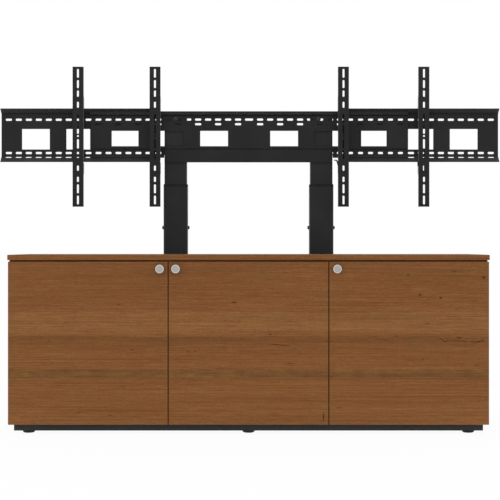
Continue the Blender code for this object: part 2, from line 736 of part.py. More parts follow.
def make_floor_plate(name, x):
    half = OUTER_WIDTH / 2 + FLOOR_PLATE_SIDE
    back = COLUMN_FRONT + OUTER_DEPTH + FLOOR_PLATE_BACK
    middle = Vector((x, (FLOOR_PLATE_EDGE + back) / 2, 0.0))
    bm = bmesh.new()
    outline = rounded_outline(2 * half, back - FLOOR_PLATE_EDGE, FLOOR_PLATE_CORNER)
    add_prism(bm, outline, (0.0, 0.0), 0.0, FLOOR_PLATE)
    place(name, mesh_of(name, bm), BLACK_STEEL, middle)


def make_saddle(name, x):
    """A bent strap between the cabinet's back and the outer tube."""
    reach = OUTER_WIDTH / 2 + SEAT + SADDLE_SHEET / 2
    base = CARCASS_BACK + SEAT + SADDLE_SHEET / 2
    end = COLUMN_FRONT + SADDLE_CHEEK
    low = CABINET_HEIGHT - SADDLE_BELOW_TOP
    points = [
        (x - reach, end, low),
        (x - reach, base, low),
        (x + reach, base, low),
        (x + reach, end, low),
    ]
    bent_sheet(name, points, (0.0, 0.0, SADDLE_HEIGHT), SADDLE_SHEET, BLACK_STEEL)


def make_motor(name, foot):
    """A geared motor with a round bearing boss under the spindle."""
    low = FLOOR_PLATE + SEAT
    high = low + MOTOR_HEIGHT
    half_x = MOTOR_WIDTH / 2
    half_y = MOTOR_DEPTH / 2
    corner = (foot[0] - half_x, foot[1] - half_y, low)
    motor = box(name, corner, (foot[0] + half_x, foot[1] + half_y, high), BLACK_PLASTIC, MOTOR_EDGE_ROUND)
    boss = bmesh.new()
    start = (foot[0], foot[1], high - CUT_MARGIN)
    add_rod(boss, start, (foot[0], foot[1], MOTOR_TOP), MOTOR_BOSS_DIAMETER, ROUND_STEPS)
    combine(motor, tool(name + "_boss", boss), "UNION")


def make_spindle(name, foot):
    radius = SPINDLE_DIAMETER / 2
    low = MOTOR_TOP + SEAT
    profile = [
        (0.0, SPINDLE_TOP),
        (radius - SPINDLE_CHAMFER, SPINDLE_TOP),
        (radius, SPINDLE_TOP - SPINDLE_CHAMFER),
        (radius, low),
        (0.0, low),
    ]
    return turned(name, profile, BRIGHT_STEEL, foot)


def crossbar_half():
    return COLUMN_X + INNER_WIDTH / 2 - CROSSBAR_END_INSET


def make_crossbar():
    """A flat bar across both inner tubes, ahead of the centre plate's flange."""
    half = crossbar_half()
    back = MOUNT_PLANE - MOUNT_SHEET - 2 * SEAT
    low = (-half, back - CROSSBAR_DEPTH, CROSSBAR_BOTTOM)
    high = (half, back, CROSSBAR_BOTTOM + CROSSBAR_HEIGHT)
    return box("crossbar", low, high, BLACK_STEEL, CROSSBAR_EDGE_ROUND)


def slot_places(first, last):
    """Evenly spaced slots from the first place outwards."""
    count = int((last - first) / SLOT_PITCH + 1e-6) + 1
    return [first + SLOT_PITCH * step for step in range(count)]


def make_centre_plate():
    """A folded plate: stepped top lip, web level with the crossbar's face, flange behind the crossbar.

    Its foot lies inside the bottom lips of the wing plates, and is cut away where the crossbar passes.
    """
    half = PLATE_HALF_WIDTH
    start = PLATE_OFFSET - half
    flange_y = MOUNT_PLANE - SEAT - MOUNT_SHEET / 2
    web_y = flange_y - SEAT - CROSSBAR_DEPTH
    lip_y = web_y - PLATE_LIP_REACH
    step_z = PLATE_TOP - PLATE_LIP_RISE
    joggle_z = CROSSBAR_BOTTOM + CROSSBAR_HEIGHT + PLATE_JOGGLE_GAP + MOUNT_SHEET / 2
    fall = (WING_BOTTOM_ROOT - WING_BOTTOM_EDGE) / WING_LIP_REACH
    root_z = WING_BOTTOM_ROOT + (MOUNT_SHEET + SEAT) * (math.hypot(1.0, fall) - fall)
    points = [
        (start, lip_y, PLATE_TOP),
        (start, lip_y, step_z),
        (start, web_y, step_z),
        (start, web_y, joggle_z),
        (start, flange_y, joggle_z),
        (start, flange_y, root_z),
        (start, flange_y - PLATE_FOOT_REACH, root_z - PLATE_FOOT_REACH * fall),
    ]
    plate = bent_sheet("centre_plate", points, (2 * half, 0.0, 0.0), MOUNT_SHEET, BLACK_STEEL)
    cuts = bmesh.new()
    depth = MOUNT_SHEET + 2 * CUT_MARGIN
    places = slot_places(PLATE_FIRST_SLOT, half + SLOT_LENGTH / 2 - PLATE_SLOT_MARGIN)
    beside_crossbar = [x for x in places if x + SLOT_LENGTH / 2 > crossbar_half() - SLOT_LENGTH]
    rows = (
        (web_y, UPPER_SLOT_Z, places),
        (web_y, SECOND_SLOT_Z, places[::2]),
        (flange_y, LOWER_SLOT_Z, beside_crossbar),
    )
    add_slot(cuts, (PLATE_OFFSET, web_y, UPPER_SLOT_Z), MIDDLE_SLOT_LENGTH, SLOT_WIDTH, depth)
    for sign in (-1, 1):
        for row_y, row_z, row in rows:
            for x in row:
                add_slot(cuts, (PLATE_OFFSET + sign * x, row_y, row_z), SLOT_LENGTH, SLOT_WIDTH, depth)
        for step in range(WINDOW_COUNT):
            x = PLATE_OFFSET + sign * (PLATE_WINDOW_FIRST + step * PLATE_WINDOW_PITCH)
            add_window(cuts, x, web_y, PLATE_WINDOW_LOW, PLATE_WINDOW_HIGH, depth)
    notch = crossbar_half() + PLATE_NOTCH_CLEAR
    front = flange_y - PLATE_FOOT_REACH - CUT_MARGIN
    low = (-notch, front, root_z - PLATE_FOOT_REACH - CUT_MARGIN)
    add_box(cuts, low, (notch, flange_y + CUT_MARGIN, root_z + CUT_MARGIN))
    combine(plate, tool("centre_plate_cuts", cuts), "DIFFERENCE")
    return plate


def add_window(bm, x, y, low, high, depth):
    half = WINDOW_WIDTH / 2
    add_box(bm, (x - half, y - depth / 2, low), (x + half, y + depth / 2, high))


def make_wing_plate(side, sign):
    """A bent plate behind the centre plate's flange, with lips inclined forwards above and below.

    Its rows of slots run out through its inner end.
    """
    web_y = MOUNT_PLANE + MOUNT_SHEET / 2
    lip_y = web_y - WING_LIP_REACH
    start = WING_OFFSET + sign * WING_INNER_END
    points = [
        (start, lip_y, WING_TOP_EDGE),
        (start, web_y, WING_TOP_ROOT),
        (start, web_y, WING_BOTTOM_ROOT),
        (start, lip_y, WING_BOTTOM_EDGE),
    ]
    plate = bent_sheet(f"{side}_wing_plate", points, (sign * WING_LENGTH, 0.0, 0.0), MOUNT_SHEET, BLACK_STEEL)
    cuts = bmesh.new()
    depth = MOUNT_SHEET + 2 * CUT_MARGIN
    down_lip = Vector((0.0, -WING_LIP_REACH, WING_BOTTOM_EDGE - WING_BOTTOM_ROOT)).normalized()
    lip_slot = Vector((0.0, web_y, WING_BOTTOM_ROOT)) + down_lip * LIP_SLOT_FROM_ROOT
    tilt = math.atan2(-down_lip.z, -down_lip.y)
    lip_frame = Matrix.Rotation(tilt - math.pi / 2, 3, "X")
    for run_in in slot_places(WING_SLOT_FROM_END, WING_LENGTH + SLOT_LENGTH / 2 - PLATE_SLOT_MARGIN):
        x = WING_OFFSET + sign * (WING_OUTER_END - run_in)
        add_slot(cuts, (x, web_y, UPPER_SLOT_Z), SLOT_LENGTH, SLOT_WIDTH, depth)
        add_slot(cuts, (x, web_y, LOWER_SLOT_Z), SLOT_LENGTH, SLOT_WIDTH, depth)
        add_slot(cuts, (x, lip_slot.y, lip_slot.z), SLOT_LENGTH, LIP_SLOT_WIDTH, depth, lip_frame)
    for step in range(WINDOW_COUNT):
        x = WING_OFFSET + sign * (WING_OUTER_END - WING_WINDOW_FROM_END - step * WING_WINDOW_PITCH)
        add_window(cuts, x, web_y, WING_WINDOW_LOW, WING_WINDOW_HIGH, depth)
    combine(plate, tool(f"{side}_wing_plate_cuts", cuts), "DIFFERENCE")
    return plate


def arm_outline():
    """The display arm seen from its side: distance ahead of the mount plane, and height.

    The upper hook's underside lies along the wing plate's top lip, and the lower notch takes the bottom lip.
    """
    root = -MOUNT_SHEET / 2
    tip = root + WING_LIP_REACH
    rise = (WING_TOP_EDGE - WING_TOP_ROOT) / WING_LIP_REACH
    half_lip = MOUNT_SHEET / 2 * math.hypot(1.0, rise)
    end = tip + MOUNT_SHEET / 2 * rise + LIP_TIP_CLEARANCE

    def lip_at(reach, offset):
        return WING_TOP_ROOT + (reach - root) * rise + offset

    over = half_lip + SEAT * math.hypot(1.0, rise)
    under = -half_lip - LIP_UNDER_CLEARANCE
    hook_top = lip_at(HOOK_BACK_REACH, over) + HOOK_HEIGHT
    notch_high = WING_BOTTOM_EDGE + MOUNT_SHEET / 2 + LOWER_NOTCH_ABOVE
    notch_low = WING_BOTTOM_EDGE - MOUNT_SHEET / 2 - LOWER_NOTCH_BELOW
    return [
        (ARM_FRONT_REACH, ARM_BOTTOM),
        (ARM_FRONT_REACH, ARM_TOP),
        (ARM_BACK_REACH, ARM_TOP),
        (ARM_BACK_REACH, hook_top + HOOK_TAPER),
        (HOOK_BACK_REACH, hook_top),
        (HOOK_BACK_REACH, lip_at(HOOK_BACK_REACH, over)),
        (end, lip_at(end, over)),
        (end, lip_at(end, under)),
        (ARM_BACK_REACH, lip_at(ARM_BACK_REACH, under)),
        (ARM_BACK_REACH, notch_high + LOWER_NOTCH_ABOVE),
        (end, notch_high),
        (end, notch_low),
        (HOOK_BACK_REACH, notch_low),
        (HOOK_BACK_REACH, notch_low - HOOK_HEIGHT + HOOK_TAPER),
        (ARM_BACK_REACH, notch_low - HOOK_HEIGHT),
        (ARM_BACK_REACH, ARM_BOTTOM),
    ]


def make_display_arm(name, x):
    """A slotted channel whose side flanges carry a hook over the top lip and a notch round the lower one."""
    bm = bmesh.new()
    corners = [bm.verts.new((-ARM_WIDTH / 2, -reach, z)) for reach, z in arm_outline()]
    side = bm.faces.new(corners)
    swept = bmesh.ops.extrude_face_region(bm, geom=[side])["geom"]
    moved = [item for item in swept if isinstance(item, bmesh.types.BMVert)]
    bmesh.ops.translate(bm, vec=(ARM_WIDTH, 0.0, 0.0), verts=moved)
    bmesh.ops.recalc_face_normals(bm, faces=bm.faces)
    arm = place(name, mesh_of(name, bm), BLACK_STEEL, (x, MOUNT_PLANE, 0.0))
    channel = bmesh.new()
    half = ARM_WIDTH / 2 - ARM_SHEET
    web_back = MOUNT_PLANE - ARM_FRONT_REACH + ARM_SHEET
    low = (x - half, web_back, ARM_BOTTOM - CUT_MARGIN)
    add_box(channel, low, (x + half, MOUNT_PLANE, ARM_TOP + CUT_MARGIN))
    combine(arm, tool(name + "_channel", channel), "DIFFERENCE")
    slots = bmesh.new()
    depth = ARM_SHEET + 2 * CUT_MARGIN
    web_y = web_back - ARM_SHEET / 2
    upright = Matrix.Rotation(math.pi / 2, 3, "Y")
    hole_z = ARM_MIDDLE + ARM_HOLE_ABOVE_MIDDLE
    add_slot(slots, (x, web_y, hole_z), ARM_HOLE_DIAMETER, ARM_HOLE_DIAMETER, depth, upright)
    limit = (ARM_TOP - ARM_BOTTOM) / 2 - ARM_SLOT_END_MARGIN
    for sign, spans in ((1, ARM_UPPER_SLOTS), (-1, ARM_LOWER_SLOTS)):
        for near, far in spans:
            if far > limit:
                continue
            z = ARM_MIDDLE + sign * (near + far) / 2
            add_slot(slots, (x, web_y, z), far - near, ARM_SLOT_WIDTH, depth, upright)
    combine(arm, tool(name + "_slots", slots), "DIFFERENCE")
    ride([arm], name + "_slide", (x, MOUNT_PLANE, ARM_MIDDLE))


def make_credenza():
    make_worktop()
    make_walls()
    for bay in BAYS:
        make_bay(*bay)
    make_plinth()
    make_feet()
    for door in DOORS:
        make_door(*door)
    lifted = [make_column(side, sign) for side, sign in SIDES]
    lifted.append(make_crossbar())
    lifted.append(make_centre_plate())
    lifted += [make_wing_plate(side, sign) for side, sign in SIDES]
    ride(lifted, "lift_axis", (0.0, COLUMN_Y, COLUMN_TOP))
    for name, sign, run in DISPLAY_ARMS:
        make_display_arm(name, WING_OFFSET + sign * (WING_INNER_END + run))
    centre_on_origin()


def centre_on_origin():
    """Puts the middle of the whole width, which is that of the wing plates, over the origin."""
    for item in (*PARTS.objects, *CUTTERS.objects):
        if item.parent is None:
            item.location.x -= WING_OFFSET


make_credenza()
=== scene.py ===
"""Looks of the audio-visual credenza: finishes, small fittings, studio and camera.

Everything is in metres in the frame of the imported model: +X right, +Y to the back, +Z up.
"""

import json
import math

import bmesh
import bpy
from mathutils import Matrix, Vector


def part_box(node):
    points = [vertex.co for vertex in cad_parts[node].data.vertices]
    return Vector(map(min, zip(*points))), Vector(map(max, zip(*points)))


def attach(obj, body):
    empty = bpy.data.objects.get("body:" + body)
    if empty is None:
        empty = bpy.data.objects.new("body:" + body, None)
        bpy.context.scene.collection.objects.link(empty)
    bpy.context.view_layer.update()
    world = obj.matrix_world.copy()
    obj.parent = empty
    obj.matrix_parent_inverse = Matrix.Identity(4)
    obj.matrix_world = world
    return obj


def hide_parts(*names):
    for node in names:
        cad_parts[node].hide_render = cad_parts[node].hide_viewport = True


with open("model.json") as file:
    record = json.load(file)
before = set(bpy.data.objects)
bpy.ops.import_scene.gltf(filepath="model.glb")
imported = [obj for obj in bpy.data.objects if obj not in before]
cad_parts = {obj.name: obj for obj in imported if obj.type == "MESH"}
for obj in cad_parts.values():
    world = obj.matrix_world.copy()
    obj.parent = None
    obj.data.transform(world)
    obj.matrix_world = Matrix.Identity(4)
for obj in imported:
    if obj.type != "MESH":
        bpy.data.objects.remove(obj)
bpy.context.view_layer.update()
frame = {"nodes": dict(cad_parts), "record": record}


def middle(node):
    """Middle of a node's box."""
    low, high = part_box(node)
    return (low + high) / 2


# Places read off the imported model
DOOR_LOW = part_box("left_door")[0].z
DOOR_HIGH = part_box("left_door")[1].z
COLUMN_X = {side: middle(side + "_outer_tube").x for side in ("left", "right")}
COLUMN_Y = middle("right_outer_tube").y
OUTER_LOW, OUTER_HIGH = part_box("right_outer_tube")
OUTER_WIDTH = OUTER_HIGH.x - OUTER_LOW.x
OUTER_DEPTH = OUTER_HIGH.y - OUTER_LOW.y
TUBE_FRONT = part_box("left_inner_tube")[0].y
PLATE_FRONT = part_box("crossbar")[0].y
PLATE_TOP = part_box("centre_plate")[1].z
CROSSBAR_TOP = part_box("crossbar")[1].z
WING_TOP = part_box("right_wing_plate")[1].z
LIP_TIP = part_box("right_wing_plate")[0].y
KNOB_RADIUS = (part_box("left_knob")[1].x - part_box("left_knob")[0].x) / 2

# Sheet of the plates and of the display arms
PLATE_SHEET = 0.0030
ARM_SHEET = 0.0025

# Bands at each fold of the plates where shade is painted into their coat as a darker colour, each from its
# lowest to its highest point
PLATE_FOLD_SHADE = (
    (PLATE_TOP - 0.0207, PLATE_TOP - 0.0105),
    (CROSSBAR_TOP - 0.0010, CROSSBAR_TOP + 0.0058),
)
WING_FOLD_SHADE = ((WING_TOP - 0.0235, WING_TOP - 0.0165),)

# Range in which nearly all values of a noise lie, and its middle
NOISE_LOW = 0.3
NOISE_HIGH = 0.7
NOISE_MIDDLE = 0.5

# Part of a normal along an axis from which a face counts as looking that way
LOOKS_ALONG = 0.7
LOOKS_BACK = 0.5


def linear(red, green, blue):
    """A colour given as on screen, 0 to 255, as the linear value that a shader takes."""
    values = []
    for part in (red, green, blue):
        part /= 255
        values.append(part / 12.92 if part <= 0.04045 else ((part + 0.055) / 1.055) ** 2.4)
    return (*values, 1.0)


def even(size):
    """The same number on all three axes or in all three colours."""
    return (size, size, size)


def grey(stops):
    """Stops of a grey ramp, from pairs of a place and a tone."""
    return [(place, (*even(tone), 1.0)) for place, tone in stops]


class Finish:
    """A procedural material: a Principled shader and the nodes that feed it."""

    def __init__(self, name, metallic=0.0, specular=0.5):
        self.material = bpy.data.materials.new(name)
        self.material.use_nodes = True
        self.nodes = self.material.node_tree.nodes
        self.links = self.material.node_tree.links
        self.shader = self.nodes["Principled BSDF"]
        self.shader.inputs["Metallic"].default_value = metallic
        self.shader.inputs["Specular IOR Level"].default_value = specular
        coordinates = self.nodes.new("ShaderNodeTexCoord")
        self.place = coordinates.outputs["Object"]
        self.normal = coordinates.outputs["Normal"]

    def feed(self, socket, value):
        if isinstance(value, bpy.types.NodeSocket):
            self.links.new(value, socket)
        else:
            socket.default_value = value

    def set(self, name, value):
        self.feed(self.shader.inputs[name], value)

    def math(self, operation, first, second=0.0):
        node = self.nodes.new("ShaderNodeMath")
        node.operation = operation
        self.feed(node.inputs[0], first)
        self.feed(node.inputs[1], second)
        return node.outputs[0]

    def combine(self, x, y, z):
        node = self.nodes.new("ShaderNodeCombineXYZ")
        for socket, value in zip(node.inputs, (x, y, z)):
            self.feed(socket, value)
        return node.outputs[0]

    def split(self, vector):
        node = self.nodes.new("ShaderNodeSeparateXYZ")
        self.feed(node.inputs[0], vector)
        return node.outputs

    def vector(self, operation, first, second):
        node = self.nodes.new("ShaderNodeVectorMath")
        node.operation = operation
        self.feed(node.inputs[0], first)
        self.feed(node.inputs[1], second)
        return node.outputs["Vector"]

    def length(self, vector):
        node = self.nodes.new("ShaderNodeVectorMath")
        node.operation = "LENGTH"
        self.feed(node.inputs[0], vector)
        return node.outputs["Value"]

    def noise(self, vector, stretch, detail=3.0, roughness=0.5):
        node = self.nodes.new("ShaderNodeTexNoise")
        self.feed(node.inputs["Vector"], self.vector("MULTIPLY", vector, stretch))
        node.inputs["Scale"].default_value = 1.0
        node.inputs["Detail"].default_value = detail
        node.inputs["Roughness"].default_value = roughness
        return node.outputs["Fac"]

    def cells(self, vector, stretch):
        """Distance to the nearest of scattered points."""
        node = self.nodes.new("ShaderNodeTexVoronoi")
        self.feed(node.inputs["Vector"], self.vector("MULTIPLY", vector, stretch))
        node.inputs["Scale"].default_value = 1.0
        return node.outputs["Distance"]

    def spread(self, value, low, high, start=0.0, end=1.0):
        """Turns values from low to high into values from start to end."""
        node = self.nodes.new("ShaderNodeMapRange")
        for socket, number in zip(node.inputs, (value, low, high, start, end)):
            self.feed(socket, number)
        return node.outputs[0]

    def vary(self, noise, start, end):
        """A value that a noise moves between start and end."""
        return self.spread(noise, NOISE_LOW, NOISE_HIGH, start, end)

    def swing(self, noise, size):
        """A noise moved to swing about zero, and scaled."""
        return self.math("MULTIPLY", self.math("SUBTRACT", noise, NOISE_MIDDLE), size)

    def ramp(self, value, stops):
        node = self.nodes.new("ShaderNodeValToRGB")
        band = node.color_ramp
        while len(band.elements) < len(stops):
            band.elements.new(0.5)
        for element, (place, colour) in zip(band.elements, stops):
            element.position = place
            element.color = colour
        self.feed(node.inputs[0], value)
        return node.outputs[0]

    def mix(self, share, first, second):
        node = self.nodes.new("ShaderNodeMix")
        node.data_type = "RGBA"
        self.feed(node.inputs["Factor"], share)
        self.feed(node.inputs["A"], first)
        self.feed(node.inputs["B"], second)
        return node.outputs["Result"]

    def bump(self, height, distance, strength):
        node = self.nodes.new("ShaderNodeBump")
        node.inputs["Strength"].default_value = strength
        node.inputs["Distance"].default_value = distance
        self.feed(node.inputs["Height"], height)
        self.set("Normal", node.outputs[0])


def grain_run(finish):
    """Coordinates with the grain along X, turned to run front to back on faces that look sideways."""
    x, y, z = finish.split(finish.place)
    sideways = finish.math("ABSOLUTE", finish.split(finish.normal)[0])
    turned = finish.math("GREATER_THAN", sideways, LOOKS_ALONG)
    return finish.mix(turned, finish.place, finish.combine(y, x, z))


# Boards that the doors' wood is laid up from: share of the doors' height, and tone
BOARD_TONES = (
    (0.000, 0.660),
    (0.070, 0.630),
    (0.100, 0.650),
    (0.235, 0.600),
    (0.239, 0.510),
    (0.246, 0.510),
    (0.250, 0.550),
    (0.275, 0.540),
    (0.285, 0.500),
    (0.291, 0.400),
    (0.336, 0.385),
    (0.339, 0.580),
    (0.346, 0.570),
    (0.410, 0.545),
    (0.480, 0.500),
    (0.512, 0.410),
    (0.540, 0.345),
    (0.543, 0.510),
    (0.560, 0.570),
    (0.580, 0.670),
    (0.680, 0.670),
    (0.700, 0.550),
    (0.770, 0.510),
    (0.800, 0.470),
)
# Blotchy bands of that wood: share of the doors' height, and strength
BLOTCHY_BANDS = (
    (0.283, 0.00),
    (0.293, 1.00),
    (0.336, 1.00),
    (0.340, 0.00),
    (0.500, 0.00),
    (0.515, 0.25),
    (0.540, 0.25),
    (0.545, 0.00),
    (0.570, 0.30),
    (0.680, 0.30),
    (0.705, 0.00),
)
BLOTCH_WEIGHT = 0.8
BAND_OLIVE = 0.6
# Layers of its grain: scale along and across it, detail, roughness, and weight in the tone
GRAIN_LAYERS = {
    "broad": (0.8, 16.0, 2.0, 0.50, 0.20),
    "streak": (1.8, 260.0, 3.0, 0.65, 0.74),
    "fine": (14.0, 420.0, 3.0, 0.70, 0.96),
    "fleck": (70.0, 300.0, 2.0, 0.60, 0.58),
}
GRAIN_DRIFT = 0.005
GRAIN_LINE_DEPTH = 0.27
PORE_DEPTH = 0.25
# Marks in the wood of the doors: X and Z of the middle, half its length and height, depth of colour
KNOTS = (
    (-0.5430, 0.5390, 0.0100, 0.0028, 0.55),
    (-0.8340, 0.3870, 0.0070, 0.0030, 0.55),
    (-0.4900, 0.3505, 0.0080, 0.0034, 0.65),
    (-0.5290, 0.2010, 0.0150, 0.0026, 0.55),
    (-0.7120, 0.0905, 0.0080, 0.0032, 0.60),
    (-0.5790, 0.0777, 0.0090, 0.0030, 0.60),
    (-0.0661, 0.5473, 0.0110, 0.0034, 0.85),
    (-0.2568, 0.3440, 0.0060, 0.0030, 0.60),
    (-0.2278, 0.3461, 0.0080, 0.0026, 0.60),
    (0.1495, 0.6696, 0.0080, 0.0034, 0.45),
    (0.0831, 0.4145, 0.0100, 0.0028, 0.80),
    (0.1060, 0.3728, 0.0240, 0.0024, 0.75),
    (0.1430, 0.3680, 0.0240, 0.0022, 0.75),
    (0.1655, 0.2945, 0.0200, 0.0020, 0.60),
    (0.0950, 0.2160, 0.0160, 0.0022, 0.45),
    (0.1050, 0.0765, 0.0230, 0.0018, 0.50),
    (0.2000, 0.0765, 0.0200, 0.0018, 0.45),
    (0.1163, 0.2175, 0.0080, 0.0050, 0.30),
    (0.3049, 0.0723, 0.0030, 0.0190, 0.95),
    (0.6560, 0.6630, 0.0070, 0.0046, 0.60),
    (0.8490, 0.6755, 0.0090, 0.0042, 0.50),
    (0.9690, 0.6510, 0.0070, 0.0054, 0.85),
    (0.7050, 0.5795, 0.0060, 0.0050, 0.80),
    (0.7910, 0.5670, 0.0060, 0.0050, 0.85),
    (0.9280, 0.5530, 0.0150, 0.0022, 0.40),
    (0.8584, 0.5203, 0.0080, 0.0050, 0.30),
    (0.7350, 0.4595, 0.0110, 0.0024, 0.55),
    (0.8671, 0.4013, 0.0110, 0.0038, 0.75),
    (0.8170, 0.3990, 0.0130, 0.0026, 0.55),
    (0.7170, 0.3105, 0.0050, 0.0034, 0.65),
    (0.9400, 0.2880, 0.0100, 0.0028, 0.55),
    (0.3700, 0.1120, 0.0080, 0.0030, 0.45),
    (0.9630, 0.3882, 0.0110, 0.0034, 0.70),
    (0.9330, 0.3852, 0.0230, 0.0026, 0.55),
)
# Shares of a mark's size at which it starts to fade and is gone
KNOT_CORE = 0.3
KNOT_EDGE = 1.4
# Path of a crack in the right door, X and Z
CRACK = (
    (0.4845, 0.4054),
    (0.5309, 0.4013),
    (0.5595, 0.3921),
    (0.6059, 0.4050),
    (0.6383, 0.3984),
    (0.6669, 0.4013),
    (0.7241, 0.4013),
    (0.7705, 0.4062),
    (0.7921, 0.3971),
    (0.8028, 0.3855),
    (0.8385, 0.3897),
    (0.8887, 0.3863),
    (0.9280, 0.3814),
    (0.9707, 0.3890),
)
# Range of height that holds the path; the crack's waver and half widths are shares of that range
CRACK_LOW = 0.37
CRACK_HIGH = 0.42
CRACK_WAVER = 0.12
CRACK_CORE = 0.015
CRACK_EDGE = 0.085
# Shares of the crack's length at which it has set in and starts to run out, and its depth at both ends
CRACK_SET_IN = 0.03
CRACK_RUN_OUT = 0.985
CRACK_DEPTHS = (0.40, 0.90)


def cherry_laminate():
    """Cherry with fine straight grain across the doors, in broad boards that differ in tone."""
    wood = Finish("cherry_laminate_grain", specular=0.10)
    place = grain_run(wood)
    drift = wood.swing(wood.noise(place, (1.3, 2.5, 2.5), detail=2.0), GRAIN_DRIFT)
    run = wood.vector("ADD", place, wood.combine(0.0, drift, drift))
    height = wood.spread(wood.split(place)[2], DOOR_LOW, DOOR_HIGH)
    tone = wood.ramp(height, grey(BOARD_TONES))
    layers = {}
    for name, (along, across, detail, roughness, weight) in GRAIN_LAYERS.items():
        layers[name] = wood.noise(run, (along, across, across), detail, roughness)
        tone = wood.math("ADD", tone, wood.swing(layers[name], weight))
    lines = wood.noise(run, (0.9, 215.0, 215.0), detail=2.0)
    tone = wood.math("SUBTRACT", tone, wood.spread(lines, 0.57, 0.74, 0.0, GRAIN_LINE_DEPTH))
    band = wood.ramp(height, grey(BLOTCHY_BANDS))
    blotch = wood.noise(run, (16.0, 34.0, 34.0), detail=3.0, roughness=0.6)
    tone = wood.math("ADD", tone, wood.math("MULTIPLY", band, wood.swing(blotch, BLOTCH_WEIGHT)))
    red = wood.ramp(tone, [
        (0.00, linear(97, 57.5, 29)),
        (0.50, linear(125, 79.5, 43)),
        (1.00, linear(153, 103.5, 61)),
    ])
    olive = wood.ramp(tone, [
        (0.00, linear(93, 61, 32)),
        (0.50, linear(122, 83, 46)),
        (1.00, linear(150, 107, 64)),
    ])
    greener = wood.math("ADD", blotch, wood.math("MULTIPLY", band, BAND_OLIVE))
    colour = wood.mix(wood.spread(greener, 0.42, 0.90), red, olive)
    pores = wood.noise(run, (22.0, 700.0, 700.0), detail=2.0)
    pores = wood.spread(pores, 0.60, 0.74, 0.0, PORE_DEPTH)
    colour = wood.mix(pores, colour, linear(88, 54, 28))
    front = wood.math("LESS_THAN", wood.split(wood.normal)[1], -LOOKS_ALONG)
    marks = wood.math("MULTIPLY", knots(wood, place, crack(wood, place)), front)
    wood.set("Base Color", wood.mix(marks, colour, linear(56, 30, 14)))
    wood.set("Roughness", wood.vary(layers["streak"], 0.66, 0.56))
    wood.bump(wood.math("SUBTRACT", layers["fine"], pores), distance=0.0002, strength=0.3)
    return wood.material


def crack(wood, place):
    """A wavering, broken line in the wood of the right door, that deepens to the right."""
    first, last = CRACK[0][0], CRACK[-1][0]
    x, _, z = wood.split(place)
    along = wood.spread(x, first, last)
    stops = []
    for at, level in CRACK:
        stops.append(((at - first) / (last - first), (level - CRACK_LOW) / (CRACK_HIGH - CRACK_LOW)))
    waver = wood.swing(wood.noise(place, (90.0, 1.0, 90.0), detail=2.0), CRACK_WAVER)
    path = wood.math("ADD", wood.ramp(along, grey(stops)), waver)
    off = wood.math("ABSOLUTE", wood.math("SUBTRACT", wood.spread(z, CRACK_LOW, CRACK_HIGH), path))
    breaks = wood.noise(place, (34.0, 1.0, 60.0), detail=2.0)
    depth = wood.spread(along, 0.0, CRACK_SET_IN)
    for share in (
        wood.spread(along, 0.0, 1.0, *CRACK_DEPTHS),
        wood.spread(along, CRACK_RUN_OUT, 1.0, 1.0, 0.0),
        wood.spread(breaks, 0.42, 0.60, 0.40, 1.0),
        wood.spread(off, CRACK_CORE, CRACK_EDGE, 1.0, 0.0),
    ):
        depth = wood.math("MULTIPLY", depth, share)
    return depth


def knots(wood, place, marks):
    """Adds the small dark marks of the doors to other marks."""
    for x, z, length, thickness, depth in KNOTS:
        offset = wood.vector("SUBTRACT", place, (x, 0.0, z))
        reach = wood.length(wood.vector("MULTIPLY", offset, (1 / length, 0.0, 1 / thickness)))
        marks = wood.math("MAXIMUM", marks, wood.spread(reach, KNOT_CORE, KNOT_EDGE, depth, 0.0))
    return marks


def brown_board():
    """Melamine board of the inside: brown with a faint matching grain and a fine stipple."""
    board = Finish("brown_board_grain", specular=0.20)
    run = grain_run(board)
    streak = board.noise(run, (2.0, 70.0, 70.0), detail=4.0, roughness=0.6)
    stipple = board.noise(run, even(900.0), detail=2.0)
    tone = board.math("ADD", board.math("MULTIPLY", streak, 0.8), board.math("MULTIPLY", stipple, 0.2))
    board.set("Base Color", board.ramp(tone, [
        (0.25, linear(80, 55, 36)),
        (0.50, linear(99, 69, 46)),
        (0.75, linear(117, 83, 57)),
    ]))
    board.set("Roughness", board.vary(stipple, 0.68, 0.56))
    board.bump(stipple, distance=0.0001, strength=0.3)
    return board.material


# Shares of a painted shade band's height, from its middle, at which the painted shade starts to fade and
# is gone
FOLD_SHADE_CORE = 0.3
FOLD_SHADE_EDGE = 0.5


def powder_coat(name, red, green, blue, shade_bands=()):
    """Dark powder coat: a fine orange-peel skin with a faint change of sheen.

    Along bands at each fold, each given by its lowest and highest point, shade is painted into its colour
    as a dark line, but not on the back of the sheet.
    """
    coat = Finish(name, specular=0.18)
    coat.set("Sheen Weight", 0.25)
    coat.set("Sheen Roughness", 0.45)
    peel = coat.noise(coat.place, even(650.0), detail=2.0)
    cloud = coat.noise(coat.place, even(7.0))
    speck = coat.noise(coat.place, even(1700.0), detail=1.0)
    tone = coat.math("ADD", coat.math("MULTIPLY", cloud, 0.6), coat.math("MULTIPLY", speck, 0.4))
    colour = coat.ramp(tone, [
        (0.35, linear(red - 4, green - 4, blue - 4)),
        (0.50, linear(red, green, blue)),
        (0.68, linear(red + 6, green + 6, blue + 6)),
    ])
    # Painted shade: along each band the colour turns nearly black, standing in for the shade in a fold's
    # crease
    for low, high in shade_bands:
        size = high - low
        off = coat.math("SUBTRACT", coat.split(coat.place)[2], (low + high) / 2)
        off = coat.math("ABSOLUTE", off)
        painted_shade = coat.spread(off, size * FOLD_SHADE_CORE, size * FOLD_SHADE_EDGE, 1.0, 0.0)
        not_back = coat.math("LESS_THAN", coat.split(coat.normal)[1], LOOKS_BACK)
        colour = coat.mix(coat.math("MULTIPLY", painted_shade, not_back), colour, linear(3, 3, 3))
    coat.set("Base Color", colour)
    coat.set("Roughness", coat.vary(peel, 0.62, 0.46))
    coat.bump(peel, distance=0.00025, strength=0.35)
    return coat.material


